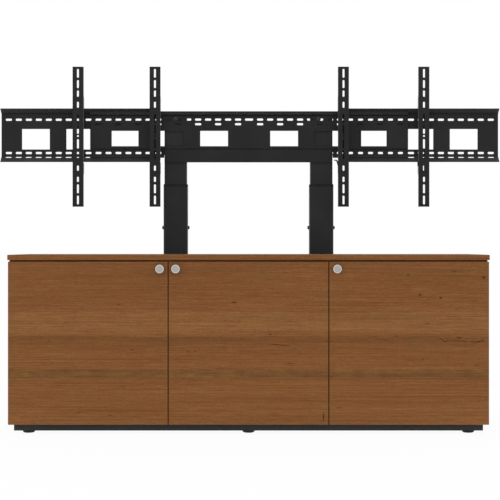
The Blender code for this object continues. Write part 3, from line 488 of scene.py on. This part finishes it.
def blackened_steel():
    """Blackened screws and washers, a little brighter than the coated plates, with turning marks."""
    steel = Finish("blackened_steel_turned", metallic=0.4, specular=0.3)
    turned = steel.noise(steel.place, (1500.0, 300.0, 1500.0), roughness=0.6)
    cloud = steel.noise(steel.place, even(120.0), detail=2.0)
    steel.set("Base Color", steel.ramp(steel.math("MULTIPLY", steel.math("ADD", turned, cloud), 0.5), [
        (0.30, linear(44, 44, 45)),
        (0.50, linear(54, 54, 55)),
        (0.72, linear(66, 66, 68)),
    ]))
    steel.set("Roughness", steel.vary(turned, 0.50, 0.36))
    steel.bump(turned, distance=0.0001, strength=0.3)
    return steel.material


def black_plastic(name, shade, specular):
    """Moulded black plastic with a spark-eroded grain."""
    plastic = Finish(name, specular=specular)
    grain = plastic.cells(plastic.place, even(900.0))
    cloud = plastic.noise(plastic.place, even(30.0))
    plastic.set("Base Color", plastic.ramp(cloud, [
        (0.30, linear(*even(shade - 6))),
        (0.55, linear(*even(shade))),
        (0.80, linear(*even(shade + 6))),
    ]))
    plastic.set("Roughness", plastic.spread(grain, 0.1, 0.8, 0.55, 0.72))
    plastic.bump(grain, distance=0.0002, strength=0.3)
    return plastic.material


# Distances from a knob's edge at which its polish, and a highlight painted lighter into its colour, set in
# and are full
POLISH_AND_HIGHLIGHT_SET_IN = 0.0040
POLISH_AND_HIGHLIGHT_FULL = 0.0028


def turned_nickel():
    """Satin nickel with the fine rings of turning, about the piece's own Z, and a rim with a polish and a
    highlight painted lighter into its colour.
    """
    nickel = Finish("satin_nickel_turned", metallic=1.0)
    reach = nickel.length(nickel.vector("MULTIPLY", nickel.place, (1.0, 1.0, 0.0)))
    turning = nickel.noise(nickel.combine(reach, 0.0, 0.0), (5200.0, 1.0, 1.0), roughness=0.7)
    face = nickel.ramp(turning, [
        (0.25, linear(162, 159, 155)),
        (0.50, linear(173, 170, 166)),
        (0.75, linear(184, 181, 177)),
    ])
    # The rim's polish lowers its roughness; its lighter colour is a painted highlight
    rim_polish_and_highlight = nickel.spread(reach, KNOB_RADIUS - POLISH_AND_HIGHLIGHT_SET_IN, KNOB_RADIUS - POLISH_AND_HIGHLIGHT_FULL)
    nickel.set("Base Color", nickel.mix(rim_polish_and_highlight, face, linear(206, 203, 199)))
    nickel.set("Roughness", nickel.spread(rim_polish_and_highlight, 0.0, 1.0, nickel.vary(turning, 0.40, 0.30), 0.22))
    nickel.bump(turning, distance=0.00004, strength=0.5)
    return nickel.material


def plated_steel():
    """Bright plated steel with a soft drawn grain along its length."""
    steel = Finish("plated_steel_drawn", metallic=1.0)
    drawn = steel.noise(steel.place, (900.0, 60.0, 900.0), detail=4.0, roughness=0.6)
    cloud = steel.noise(steel.place, even(60.0), detail=2.0)
    steel.set("Base Color", steel.ramp(steel.math("MULTIPLY", steel.math("ADD", drawn, cloud), 0.5), [
        (0.30, linear(150, 151, 153)),
        (0.52, linear(176, 177, 180)),
        (0.75, linear(196, 197, 200)),
    ]))
    steel.set("Roughness", steel.vary(drawn, 0.36, 0.22))
    steel.bump(drawn, distance=0.00005, strength=0.4)
    return steel.material


FINISHES = {
    "cherry": cherry_laminate(),
    "board": brown_board(),
    "black_steel": powder_coat("black_powder_coat", 30, 30, 30),
    "centre_plate": powder_coat("centre_plate_powder_coat", 30, 30, 30, PLATE_FOLD_SHADE),
    "wing_plates": powder_coat("wing_plate_powder_coat", 30, 30, 30, WING_FOLD_SHADE),
    # Painted light: the columns' and plinth's coats are the black coat made lighter, to offset the shade
    # they stand in
    "columns": powder_coat("column_coat_painted_lighter", 35, 36, 37),
    "plinth": powder_coat("plinth_coat_painted_lighter", 52, 54, 55),
    "black_plastic": black_plastic("black_plastic_grain", 28, 0.3),
    "collars": black_plastic("collar_plastic_grain", 32, 0.12),
    "screws": blackened_steel(),
    "satin_nickel": turned_nickel(),
    "bright_steel": plated_steel(),
}

# Nodes whose finish isn't quite their slot's; the columns' and the plinth's are lighter copies of the
# black coat, with painted light
NODE_FINISHES = {
    "plinth_frame": "plinth",
    "centre_plate": "centre_plate",
    "left_wing_plate": "wing_plates",
    "right_wing_plate": "wing_plates",
    "left_outer_tube": "columns",
    "right_outer_tube": "columns",
    "left_inner_tube": "columns",
    "right_inner_tube": "columns",
}


def dress_nodes():
    """Gives every node its finish."""
    for part in frame["record"]["subparts"]:
        name = part["node"]
        for slot in frame["nodes"][name].material_slots:
            slot.material = FINISHES[NODE_FINISHES.get(name, part["material_slot"])]


# Angle in degrees from which an edge stays sharp
SHARP_ANGLE = 32


def build(name, bm, slot, body, place=Matrix.Identity(4), finish=None):
    """Makes a mesh into a piece that rides on a body, smooth but for its real edges.

    Its finish is its slot's, unless another is given.
    """
    bmesh.ops.recalc_face_normals(bm, faces=bm.faces)
    mesh = bpy.data.meshes.new(name)
    bm.to_mesh(mesh)
    bm.free()
    mesh.polygons.foreach_set("use_smooth", [True] * len(mesh.polygons))
    mesh.set_sharp_from_angle(angle=math.radians(SHARP_ANGLE))
    mesh.materials.append(FINISHES[finish or slot])
    piece = bpy.data.objects.new(name, mesh)
    piece.matrix_world = place
    bpy.context.scene.collection.objects.link(piece)
    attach(piece, body)
    return piece


def rings(bm, loops, closed=False):
    """Skins a row of rings of equal count, and returns their vertices.

    A single point ends the row in a fan.
    """
    rows = [[bm.verts.new(point) for point in loop] for loop in loops]
    pairs = list(zip(rows, rows[1:]))
    if closed:
        pairs.append((rows[-1], rows[0]))
    for first, second in pairs:
        count = max(len(first), len(second))
        for step in range(count):
            corners = []
            for row, order in ((first, (step, step + 1)), (second, (step + 1, step))):
                for place in order:
                    vert = row[place % len(row)]
                    if vert not in corners:
                        corners.append(vert)
            if len(corners) > 2:
                bm.faces.new(corners)
    return rows


def ring(radius, height, steps, sides=0):
    """A ring about Z; with sides, its outline is a polygon of that many flats."""
    if radius == 0:
        return [(0.0, 0.0, height)]
    points = []
    for step in range(steps):
        angle = 2 * math.pi * step / steps
        reach = radius
        if sides:
            wedge = 2 * math.pi / sides
            reach = radius / math.cos((angle % wedge) - wedge / 2)
        points.append((reach * math.cos(angle), reach * math.sin(angle), height))
    return points


def lathe(bm, profile, steps, place=Matrix.Identity(4)):
    """Adds a turned shape; a profile point is a radius and a height, and may have a number of flats."""
    rows = rings(bm, [ring(point[0], point[1], steps, *point[2:]) for point in profile])
    bmesh.ops.transform(bm, matrix=place, verts=[vert for row in rows for vert in row])


def arc(radius, height, size, start, end, steps):
    """Points of a rounded edge about a centre at a radius and a height; the angles are in degrees."""
    points = []
    for step in range(steps + 1):
        angle = math.radians(start + (end - start) * step / steps)
        points.append((radius + size * math.cos(angle), height + size * math.sin(angle)))
    return points


def facing(direction, point):
    """Turns local +Z to a direction and moves it to a point."""
    turn = Vector(direction).to_track_quat("Z", "Y").to_matrix().to_4x4()
    return Matrix.Translation(point) @ turn


# Knobs: a pair is a radius and a height or length
KNOB_STEPS = 72
KNOB_HEAD = 0.0100
KNOB_RIM = 0.0036
KNOB_RIM_ROUND = 0.0018
KNOB_RIM_ROUND_DEPTH = 0.0024
KNOB_BACK_ROUND = 0.0010
KNOB_NECK = 0.0085
KNOB_TAPER = (0.0070, 0.0025)
KNOB_WAIST = (0.0066, 0.0060)
KNOB_FOOT = (0.0075, 0.0010)


def make_knobs():
    """Turned knobs: a flat face inside a rim with a polish and a painted highlight, on a waisted neck."""
    for name in ("left", "middle", "right"):
        low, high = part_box(name + "_knob")
        reach = high.y - low.y
        back = reach - KNOB_HEAD
        profile = [(0.0, reach), (KNOB_RADIUS - KNOB_RIM, reach)]
        rim_height = reach - KNOB_RIM_ROUND_DEPTH
        profile += arc(KNOB_RADIUS - KNOB_RIM_ROUND, rim_height, KNOB_RIM_ROUND, 70, 0, 6)
        profile += arc(KNOB_RADIUS - KNOB_BACK_ROUND, back + KNOB_BACK_ROUND, KNOB_BACK_ROUND, 0, -90, 4)
        profile += [(KNOB_NECK, back), (KNOB_TAPER[0], back - KNOB_TAPER[1])]
        profile += [KNOB_WAIST, KNOB_FOOT, (KNOB_FOOT[0], 0.0), (0.0, 0.0)]
        bm = bmesh.new()
        lathe(bm, profile, KNOB_STEPS)
        place = facing((0, -1, 0), ((low.x + high.x) / 2, high.y, (low.z + high.z) / 2))
        knob = build(name + "_turned_knob", bm, "satin_nickel", name + "_door_leaf", place)
        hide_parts(name + "_knob")


FOOT_STEPS = 48
# Stem and hexagon of a foot: radius, depth below the top and, on the hexagon, its flats
FOOT_STEM = (
    (0.0, 0.0),
    (0.0045, 0.0),
    (0.0050, 0.0005),
    (0.0050, 0.0030),
    (0.0085, 0.0032, 6),
    (0.0088, 0.0040, 6),
    (0.0088, 0.0092, 6),
    (0.0085, 0.0098, 6),
    (0.0050, 0.0100),
)
# Pad of a foot: radius and height of its shoulder, and its rounds
FOOT_SHOULDER = ((0.0050, 0.0150), (0.0140, 0.0146))
FOOT_TOP_ROUND = 0.0022
FOOT_TOP_ROUND_Z = 0.0118
FOOT_BASE_ROUND = 0.0090


def make_feet():
    """Levelling feet: a rounded pad, a hexagon to turn it by, and the stem's end."""
    for row in ("front", "back"):
        for column in ("left", "middle", "right"):
            node = f"{row}_{column}_foot"
            low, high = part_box(node)
            radius = (high.y - low.y) / 2
            profile = [(point[0], high.z - point[1], *point[2:]) for point in FOOT_STEM]
            profile += FOOT_SHOULDER
            profile += arc(radius - FOOT_TOP_ROUND, FOOT_TOP_ROUND_Z, FOOT_TOP_ROUND, 90, 0, 5)
            profile += arc(radius - FOOT_BASE_ROUND, FOOT_BASE_ROUND, FOOT_BASE_ROUND, 0, -90, 10)
            profile += [(0.0, 0.0)]
            bm = bmesh.new()
            lathe(bm, profile, FOOT_STEPS)
            centre = middle(node)
            place = Matrix.Translation((centre.x, centre.y, 0.0))
            foot = build(node + "_turned", bm, "black_plastic", "cabinet", place)
            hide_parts(node)


SCREW_STEPS = 36
# Domed screw head: widths as shares of the socket's, heights as shares of the head's
SOCKET_FLOOR_WIDTH = 0.80
SOCKET_FLOOR = 0.35
SOCKET_SIDE = 0.42
SOCKET_MOUTH = 0.97
CROWN_WIDTH = 1.35
DOME_FOOT = 0.16
DOME_STEPS = 5


def button_head(bm, radius, height, socket, place):
    """A domed screw head with a hexagon socket."""
    crown = socket * CROWN_WIDTH
    profile = [
        (0.0, height * SOCKET_FLOOR),
        (socket * SOCKET_FLOOR_WIDTH, height * SOCKET_FLOOR, 6),
        (socket, height * SOCKET_SIDE, 6),
        (socket, height * SOCKET_MOUTH, 6),
        (crown, height),
    ]
    for step in range(1, DOME_STEPS + 1):
        angle = math.pi / 2 * step / DOME_STEPS
        across = crown + (radius - crown) * math.sin(angle)
        profile.append((across, height * (DOME_FOOT + (1 - DOME_FOOT) * math.cos(angle))))
    profile += [(radius, 0.0), (0.0, 0.0)]
    lathe(bm, profile, SCREW_STEPS, place)


# Column screws: their height, and radius, height and socket of their heads
COLUMN_SCREW_Z = 0.866
COLUMN_SCREW = (0.0085, 0.0080, 0.0026)


def make_column_screws():
    """Domed screws on both flanks of each outer tube."""
    for side, x in COLUMN_X.items():
        bm = bmesh.new()
        for sign in (-1, 1):
            point = (x + sign * (OUTER_WIDTH / 2), COLUMN_Y, COLUMN_SCREW_Z)
            button_head(bm, *COLUMN_SCREW, facing((sign, 0, 0), point))
        build(side + "_column_screws", bm, "black_steel", "cabinet", finish="screws")


# Bolts of the centre plate: height, offset from the column's middle, radii and heights
PLATE_BOLT_Z = 1.3620
PLATE_BOLT_OFFSETS = {"left": 0.0007, "right": -0.0153}
WASHER_STEPS = 40
WASHER_RADIUS = 0.0115
WASHER_HOLE = 0.0045
WASHER_SHEET = 0.0016
WASHER_EDGE = 0.0003
BOLT_HEAD = 0.0076
BOLT_HEAD_TOP = 0.0078
BOLT_HEAD_CHAMFER = 0.0008
BOLT_STEPS = 24
BOLT_SHANK = 0.0043
SPACER_HOLE = 0.0048
SPACER_RADIUS = 0.0118
SPACER_CLEARANCE = 0.0001


def make_plate_bolts():
    """Bolts from the centre plate to the inner tubes, each with a washer and a spacer behind the plate."""
    far = PLATE_FRONT - TUBE_FRONT
    near = -PLATE_SHEET - SPACER_CLEARANCE
    washer = [
        (WASHER_HOLE, 0.0),
        (WASHER_HOLE, WASHER_SHEET),
        (WASHER_RADIUS - WASHER_EDGE, WASHER_SHEET),
        (WASHER_RADIUS, WASHER_SHEET - WASHER_EDGE),
        (WASHER_RADIUS, 0.0),
        (WASHER_HOLE, 0.0),
    ]
    head = [
        (0.0, BOLT_HEAD_TOP),
        (BOLT_HEAD - BOLT_HEAD_CHAMFER, BOLT_HEAD_TOP, 6),
        (BOLT_HEAD, BOLT_HEAD_TOP - BOLT_HEAD_CHAMFER, 6),
        (BOLT_HEAD, WASHER_SHEET, 6),
        (0.0, WASHER_SHEET),
    ]
    shank = [(BOLT_SHANK, 0.0), (0.0, 0.0), (0.0, far), (BOLT_SHANK, far), (BOLT_SHANK, 0.0)]
    spacer = [
        (SPACER_HOLE, far),
        (SPACER_RADIUS, far),
        (SPACER_RADIUS, near),
        (SPACER_HOLE, near),
        (SPACER_HOLE, far),
    ]
    for side, offset in PLATE_BOLT_OFFSETS.items():
        bm = bmesh.new()
        place = facing((0, -1, 0), (COLUMN_X[side] + offset, PLATE_FRONT, PLATE_BOLT_Z))
        lathe(bm, washer, WASHER_STEPS, place)
        lathe(bm, head, SCREW_STEPS, place)
        lathe(bm, shank, BOLT_STEPS, place)
        lathe(bm, spacer, SCREW_STEPS, place)
        build(side + "_plate_bolt", bm, "black_steel", "lift", finish="screws")


CORNER_STEPS = 8


def rounded_outline(width, depth, corner):
    """A rectangle with rounded corners about the origin."""
    points = []
    for quarter in range(4):
        sign_x = 1 if quarter in (0, 3) else -1
        sign_y = 1 if quarter in (0, 1) else -1
        for step in range(CORNER_STEPS + 1):
            angle = math.pi / 2 * (quarter + step / CORNER_STEPS)
            x = sign_x * (width / 2 - corner) + corner * math.cos(angle)
            y = sign_y * (depth / 2 - corner) + corner * math.sin(angle)
            points.append((x, y))
    return points


# Collars: wall, rounds and corners; the inner edge is broken by a width and a height
COLLAR_WALL = 0.0034
COLLAR_ROUND = 0.0030
COLLAR_ROUND_ANGLES = (0.4, 0.8, 1.2, math.pi / 2)
COLLAR_EDGE = (0.0003, 0.0004)
COLLAR_CORNER = 0.010
COLLAR_LEAST_CORNER = 0.002


def make_collars():
    """Moulded collars with a rounded top edge round the moving tube."""
    for side in ("left", "right"):
        low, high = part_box(side + "_column_collar")
        section = [(0.0, low.z), (0.0, high.z - COLLAR_ROUND)]
        for angle in COLLAR_ROUND_ANGLES:
            inset = COLLAR_ROUND * (1 - math.cos(angle))
            section.append((inset, high.z - COLLAR_ROUND * (1 - math.sin(angle))))
        section.append((COLLAR_WALL - COLLAR_EDGE[0], high.z))
        section += [(COLLAR_WALL, high.z - COLLAR_EDGE[1]), (COLLAR_WALL, low.z)]
        loops = []
        for inset, z in section:
            corner = max(COLLAR_CORNER - inset, COLLAR_LEAST_CORNER)
            outline = rounded_outline(OUTER_WIDTH - 2 * inset, OUTER_DEPTH - 2 * inset, corner)
            loops.append([(x, y, z) for x, y in outline])
        bm = bmesh.new()
        rings(bm, loops, closed=True)
        place = Matrix.Translation(((low.x + high.x) / 2, COLUMN_Y, 0.0))
        collar = build(side + "_moulded_collar", bm, "black_plastic", "cabinet", place, "collars")
        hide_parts(side + "_column_collar")


# Hinge screws: radius, height and socket of their heads
HINGE_PLATE_SCREW = (0.0036, 0.0020, 0.0013)
HINGE_ARM_SCREW = (0.0034, 0.0016, 0.0013)
# Their seats' distance from the panel, and their places from the hinge's middle and its back
HINGE_PLATE_FACE = 0.00645
HINGE_PLATE_SCREW_UP = 0.018
HINGE_PLATE_SCREW_BACK = 0.024
HINGE_ARM_FACE = 0.0077
HINGE_ARM_SCREW_BACKS = (0.012, 0.034)


def make_hinge_screws():
    """Two screws in each hinge's plate on the panel, and two on its arm."""
    for door, inward in (("left", 1), ("middle", -1), ("right", -1)):
        for end in ("lower", "upper"):
            low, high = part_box(f"{door}_door_{end}_hinge_arm")
            wall = low.x if inward > 0 else high.x
            middle_z = (low.z + high.z) / 2
            bm = bmesh.new()
            for up in (-HINGE_PLATE_SCREW_UP, HINGE_PLATE_SCREW_UP):
                point = (wall + inward * HINGE_PLATE_FACE, high.y - HINGE_PLATE_SCREW_BACK, middle_z + up)
                button_head(bm, *HINGE_PLATE_SCREW, facing((inward, 0, 0), point))
            for back in HINGE_ARM_SCREW_BACKS:
                point = (wall + inward * HINGE_ARM_FACE, high.y - back, middle_z)
                button_head(bm, *HINGE_ARM_SCREW, facing((inward, 0, 0), point))
            build(f"{door}_door_{end}_hinge_screws", bm, "bright_steel", "cabinet")


# Broken edges of the latches: their depth, and the share of the outline that is left at the face
SLAB_EDGE = 0.0003
SLAB_FACE = 0.982


def slab(bm, outline, front, back):
    """Adds a plate with slightly broken edges between two depths; the outline is in X and Z."""
    middle_x = sum(x for x, _ in outline) / len(outline)
    middle_z = sum(z for _, z in outline) / len(outline)
    loops = []
    for share, y in (
        (SLAB_FACE, back),
        (1.0, back - SLAB_EDGE),
        (1.0, front + SLAB_EDGE),
        (SLAB_FACE, front),
    ):
        loop = []
        for x, z in outline:
            loop.append((middle_x + (x - middle_x) * share, y, middle_z + (z - middle_z) * share))
        loops.append(loop)
    rows = rings(bm, loops)
    bm.faces.new(rows[0])
    bm.faces.new(rows[-1])


# Latches: clear of the arm's flank and of the wing plate's lip, and set back from the arm's face
LATCH_FLANK_CLEARANCE = 0.0002
LATCH_LIP_CLEARANCE = 0.0006
LATCH_SETBACK = 0.0020
# Latch of the right inner arm: distance out from the flank, and height from the tab's middle
INNER_LATCH_Z = 1.171
INNER_LATCH = (
    (0.0000, -0.0300),
    (0.0035, -0.0180),
    (0.0060, -0.0080),
    (0.0085, -0.0028),
    (0.0175, -0.0022),
    (0.0185, 0.0000),
    (0.0175, 0.0022),
    (0.0070, 0.0022),
    (0.0000, -0.0040),
)
# Strip of the right outer arm's latch: distance out from the flank, and height from its middle
OUTER_LATCH_Z = 1.1553
OUTER_LATCH = (
    (0.0000, -0.0125),
    (0.0045, -0.0110),
    (0.0045, 0.0110),
    (0.0000, 0.0125),
)
# Slide of that latch, in the arm's channel
SLIDE_PAST_MIDDLE = 0.0012
SLIDE_CLEARANCE = 0.0003
SLIDE_BELOW_STRIP = 0.0195
SLIDE_NEAR_HALF = 0.0170
SLIDE_FAR_HALF = 0.0190
SLIDE_BACK = 0.012


def latch_strip(bm, arm, outline, z):
    """Adds a latch beside an arm's left flank."""
    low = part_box(arm)[0]
    flank = low.x - LATCH_FLANK_CLEARANCE
    points = [(flank - out, z + up) for out, up in outline]
    slab(bm, points, low.y + LATCH_SETBACK, LIP_TIP - LATCH_LIP_CLEARANCE)


def make_inner_latch():
    """A sprung latch on the inner side of the right inner arm, with a tab to pull it by."""
    bm = bmesh.new()
    latch_strip(bm, "right_inner_display_arm", INNER_LATCH, INNER_LATCH_Z)
    build("right_inner_arm_latch", bm, "black_plastic", "right_inner_arm")


def make_outer_latch():
    """The latch of the right outer arm, closed: a slide in the channel and a strip outside its flank."""
    bm = bmesh.new()
    latch_strip(bm, "right_outer_display_arm", OUTER_LATCH, OUTER_LATCH_Z)
    low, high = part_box("right_outer_display_arm")
    near = (low.x + high.x) / 2 + SLIDE_PAST_MIDDLE
    far = high.x - ARM_SHEET - SLIDE_CLEARANCE
    z = OUTER_LATCH_Z - SLIDE_BELOW_STRIP
    slide = [
        (near, z - SLIDE_NEAR_HALF),
        (far, z - SLIDE_FAR_HALF),
        (far, z + SLIDE_FAR_HALF),
        (near, z + SLIDE_NEAR_HALF),
    ]
    slab(bm, slide, low.y + ARM_SHEET + SLIDE_CLEARANCE, low.y + SLIDE_BACK)
    build("right_outer_arm_latch", bm, "black_plastic", "right_outer_arm")


# Floor: half its width, squares along a side, level, grey, and the share of white that is seen in it
FLOOR_REACH = 80.0
FLOOR_SEGMENTS = 8
FLOOR_Z = -0.0004
FLOOR_GREY = 0.90
FLOOR_WHITE = 0.95


def make_stage():
    """A pale floor that takes the object's shadow, nearly white to the camera and to reflections."""
    bm = bmesh.new()
    bmesh.ops.create_grid(bm, x_segments=FLOOR_SEGMENTS, y_segments=FLOOR_SEGMENTS, size=FLOOR_REACH)
    mesh = bpy.data.meshes.new("studio_floor")
    bm.to_mesh(mesh)
    bm.free()
    floor = bpy.data.objects.new("studio_floor", mesh)
    floor.location = (0.0, 0.0, FLOOR_Z)
    bpy.context.scene.collection.objects.link(floor)
    material = bpy.data.materials.new("studio_floor_white")
    material.use_nodes = True
    nodes = material.node_tree.nodes
    nodes.clear()
    links = material.node_tree.links
    matt = nodes.new("ShaderNodeBsdfDiffuse")
    matt.inputs["Color"].default_value = (*even(FLOOR_GREY), 1.0)
    glow = nodes.new("ShaderNodeEmission")
    mixed = nodes.new("ShaderNodeMixShader")
    share = nodes.new("ShaderNodeMath")
    share.operation = "MULTIPLY"
    share.inputs[1].default_value = FLOOR_WHITE
    links.new(seen_directly(nodes, links), share.inputs[0])
    links.new(share.outputs[0], mixed.inputs[0])
    links.new(matt.outputs[0], mixed.inputs[1])
    links.new(glow.outputs[0], mixed.inputs[2])
    out = nodes.new("ShaderNodeOutputMaterial")
    links.new(mixed.outputs[0], out.inputs[0])
    mesh.materials.append(material)


def seen_directly(nodes, links):
    """1 for what the camera, a reflection or a clear piece sees, 0 for light that falls on surfaces."""
    path = nodes.new("ShaderNodeLightPath")
    total = path.outputs["Is Camera Ray"]
    for name in ("Is Glossy Ray", "Is Transmission Ray"):
        node = nodes.new("ShaderNodeMath")
        node.operation = "MAXIMUM"
        links.new(total, node.inputs[0])
        links.new(path.outputs[name], node.inputs[1])
        total = node.outputs[0]
    return total


WHITE = (1.0, 1.0, 1.0, 1.0)
SURROUND_LIGHT = 0.95
LAMP_WIDTH = 3.0
LAMP_HEIGHT = 2.0
LAMP_POWER = 40.0
LAMP_PLACE = Vector((0.0, -6.6, 1.5))
LAMP_AIM = Vector((0.0, 0.0, 0.7))


def make_light():
    """A white surround that lights the object evenly, and a soft lamp in front."""
    world = bpy.data.worlds.new("studio")
    world.use_nodes = True
    bpy.context.scene.world = world
    nodes = world.node_tree.nodes
    links = world.node_tree.links
    soft = nodes["Background"]
    soft.inputs["Color"].default_value = WHITE
    soft.inputs["Strength"].default_value = SURROUND_LIGHT
    white = nodes.new("ShaderNodeBackground")
    white.inputs["Color"].default_value = WHITE
    mixed = nodes.new("ShaderNodeMixShader")
    links.new(seen_directly(nodes, links), mixed.inputs[0])
    links.new(soft.outputs[0], mixed.inputs[1])
    links.new(white.outputs[0], mixed.inputs[2])
    links.new(mixed.outputs[0], nodes["World Output"].inputs[0])
    lamp = bpy.data.lights.new("softbox", "AREA")
    lamp.shape = "RECTANGLE"
    lamp.size = LAMP_WIDTH
    lamp.size_y = LAMP_HEIGHT
    lamp.energy = LAMP_POWER
    holder = bpy.data.objects.new("softbox", lamp)
    holder.location = LAMP_PLACE
    holder.rotation_euler = (LAMP_AIM - LAMP_PLACE).to_track_quat("-Z", "Y").to_euler()
    holder.visible_glossy = False
    bpy.context.scene.collection.objects.link(holder)


# Photograph: square, camera level, a long lens from far in front; lens and sensor in millimetres
CAMERA_AHEAD_OF_TOP = 5.755
CAMERA_Z = 0.7815
LENS = 100.0
SENSOR_WIDTH = 36.0
SHIFT = (0.003, -0.008)


def make_camera():
    """A level camera far in front of the worktop, as in the photograph."""
    data = bpy.data.cameras.new("front")
    data.lens = LENS
    data.sensor_width = SENSOR_WIDTH
    data.shift_x, data.shift_y = SHIFT
    camera = bpy.data.objects.new("front", data)
    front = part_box("top_panel")[0].y
    camera.location = (middle("top_panel").x, front - CAMERA_AHEAD_OF_TOP, CAMERA_Z)
    camera.rotation_euler = (math.pi / 2, 0.0, 0.0)
    bpy.context.scene.collection.objects.link(camera)
    bpy.context.scene.camera = camera


dress_nodes()
make_knobs()
make_feet()
make_column_screws()
make_plate_bolts()
make_collars()
make_hinge_screws()
make_inner_latch()
make_outer_latch()
make_stage()
make_light()
make_camera()
bpy.context.scene.view_settings.view_transform = "Standard"
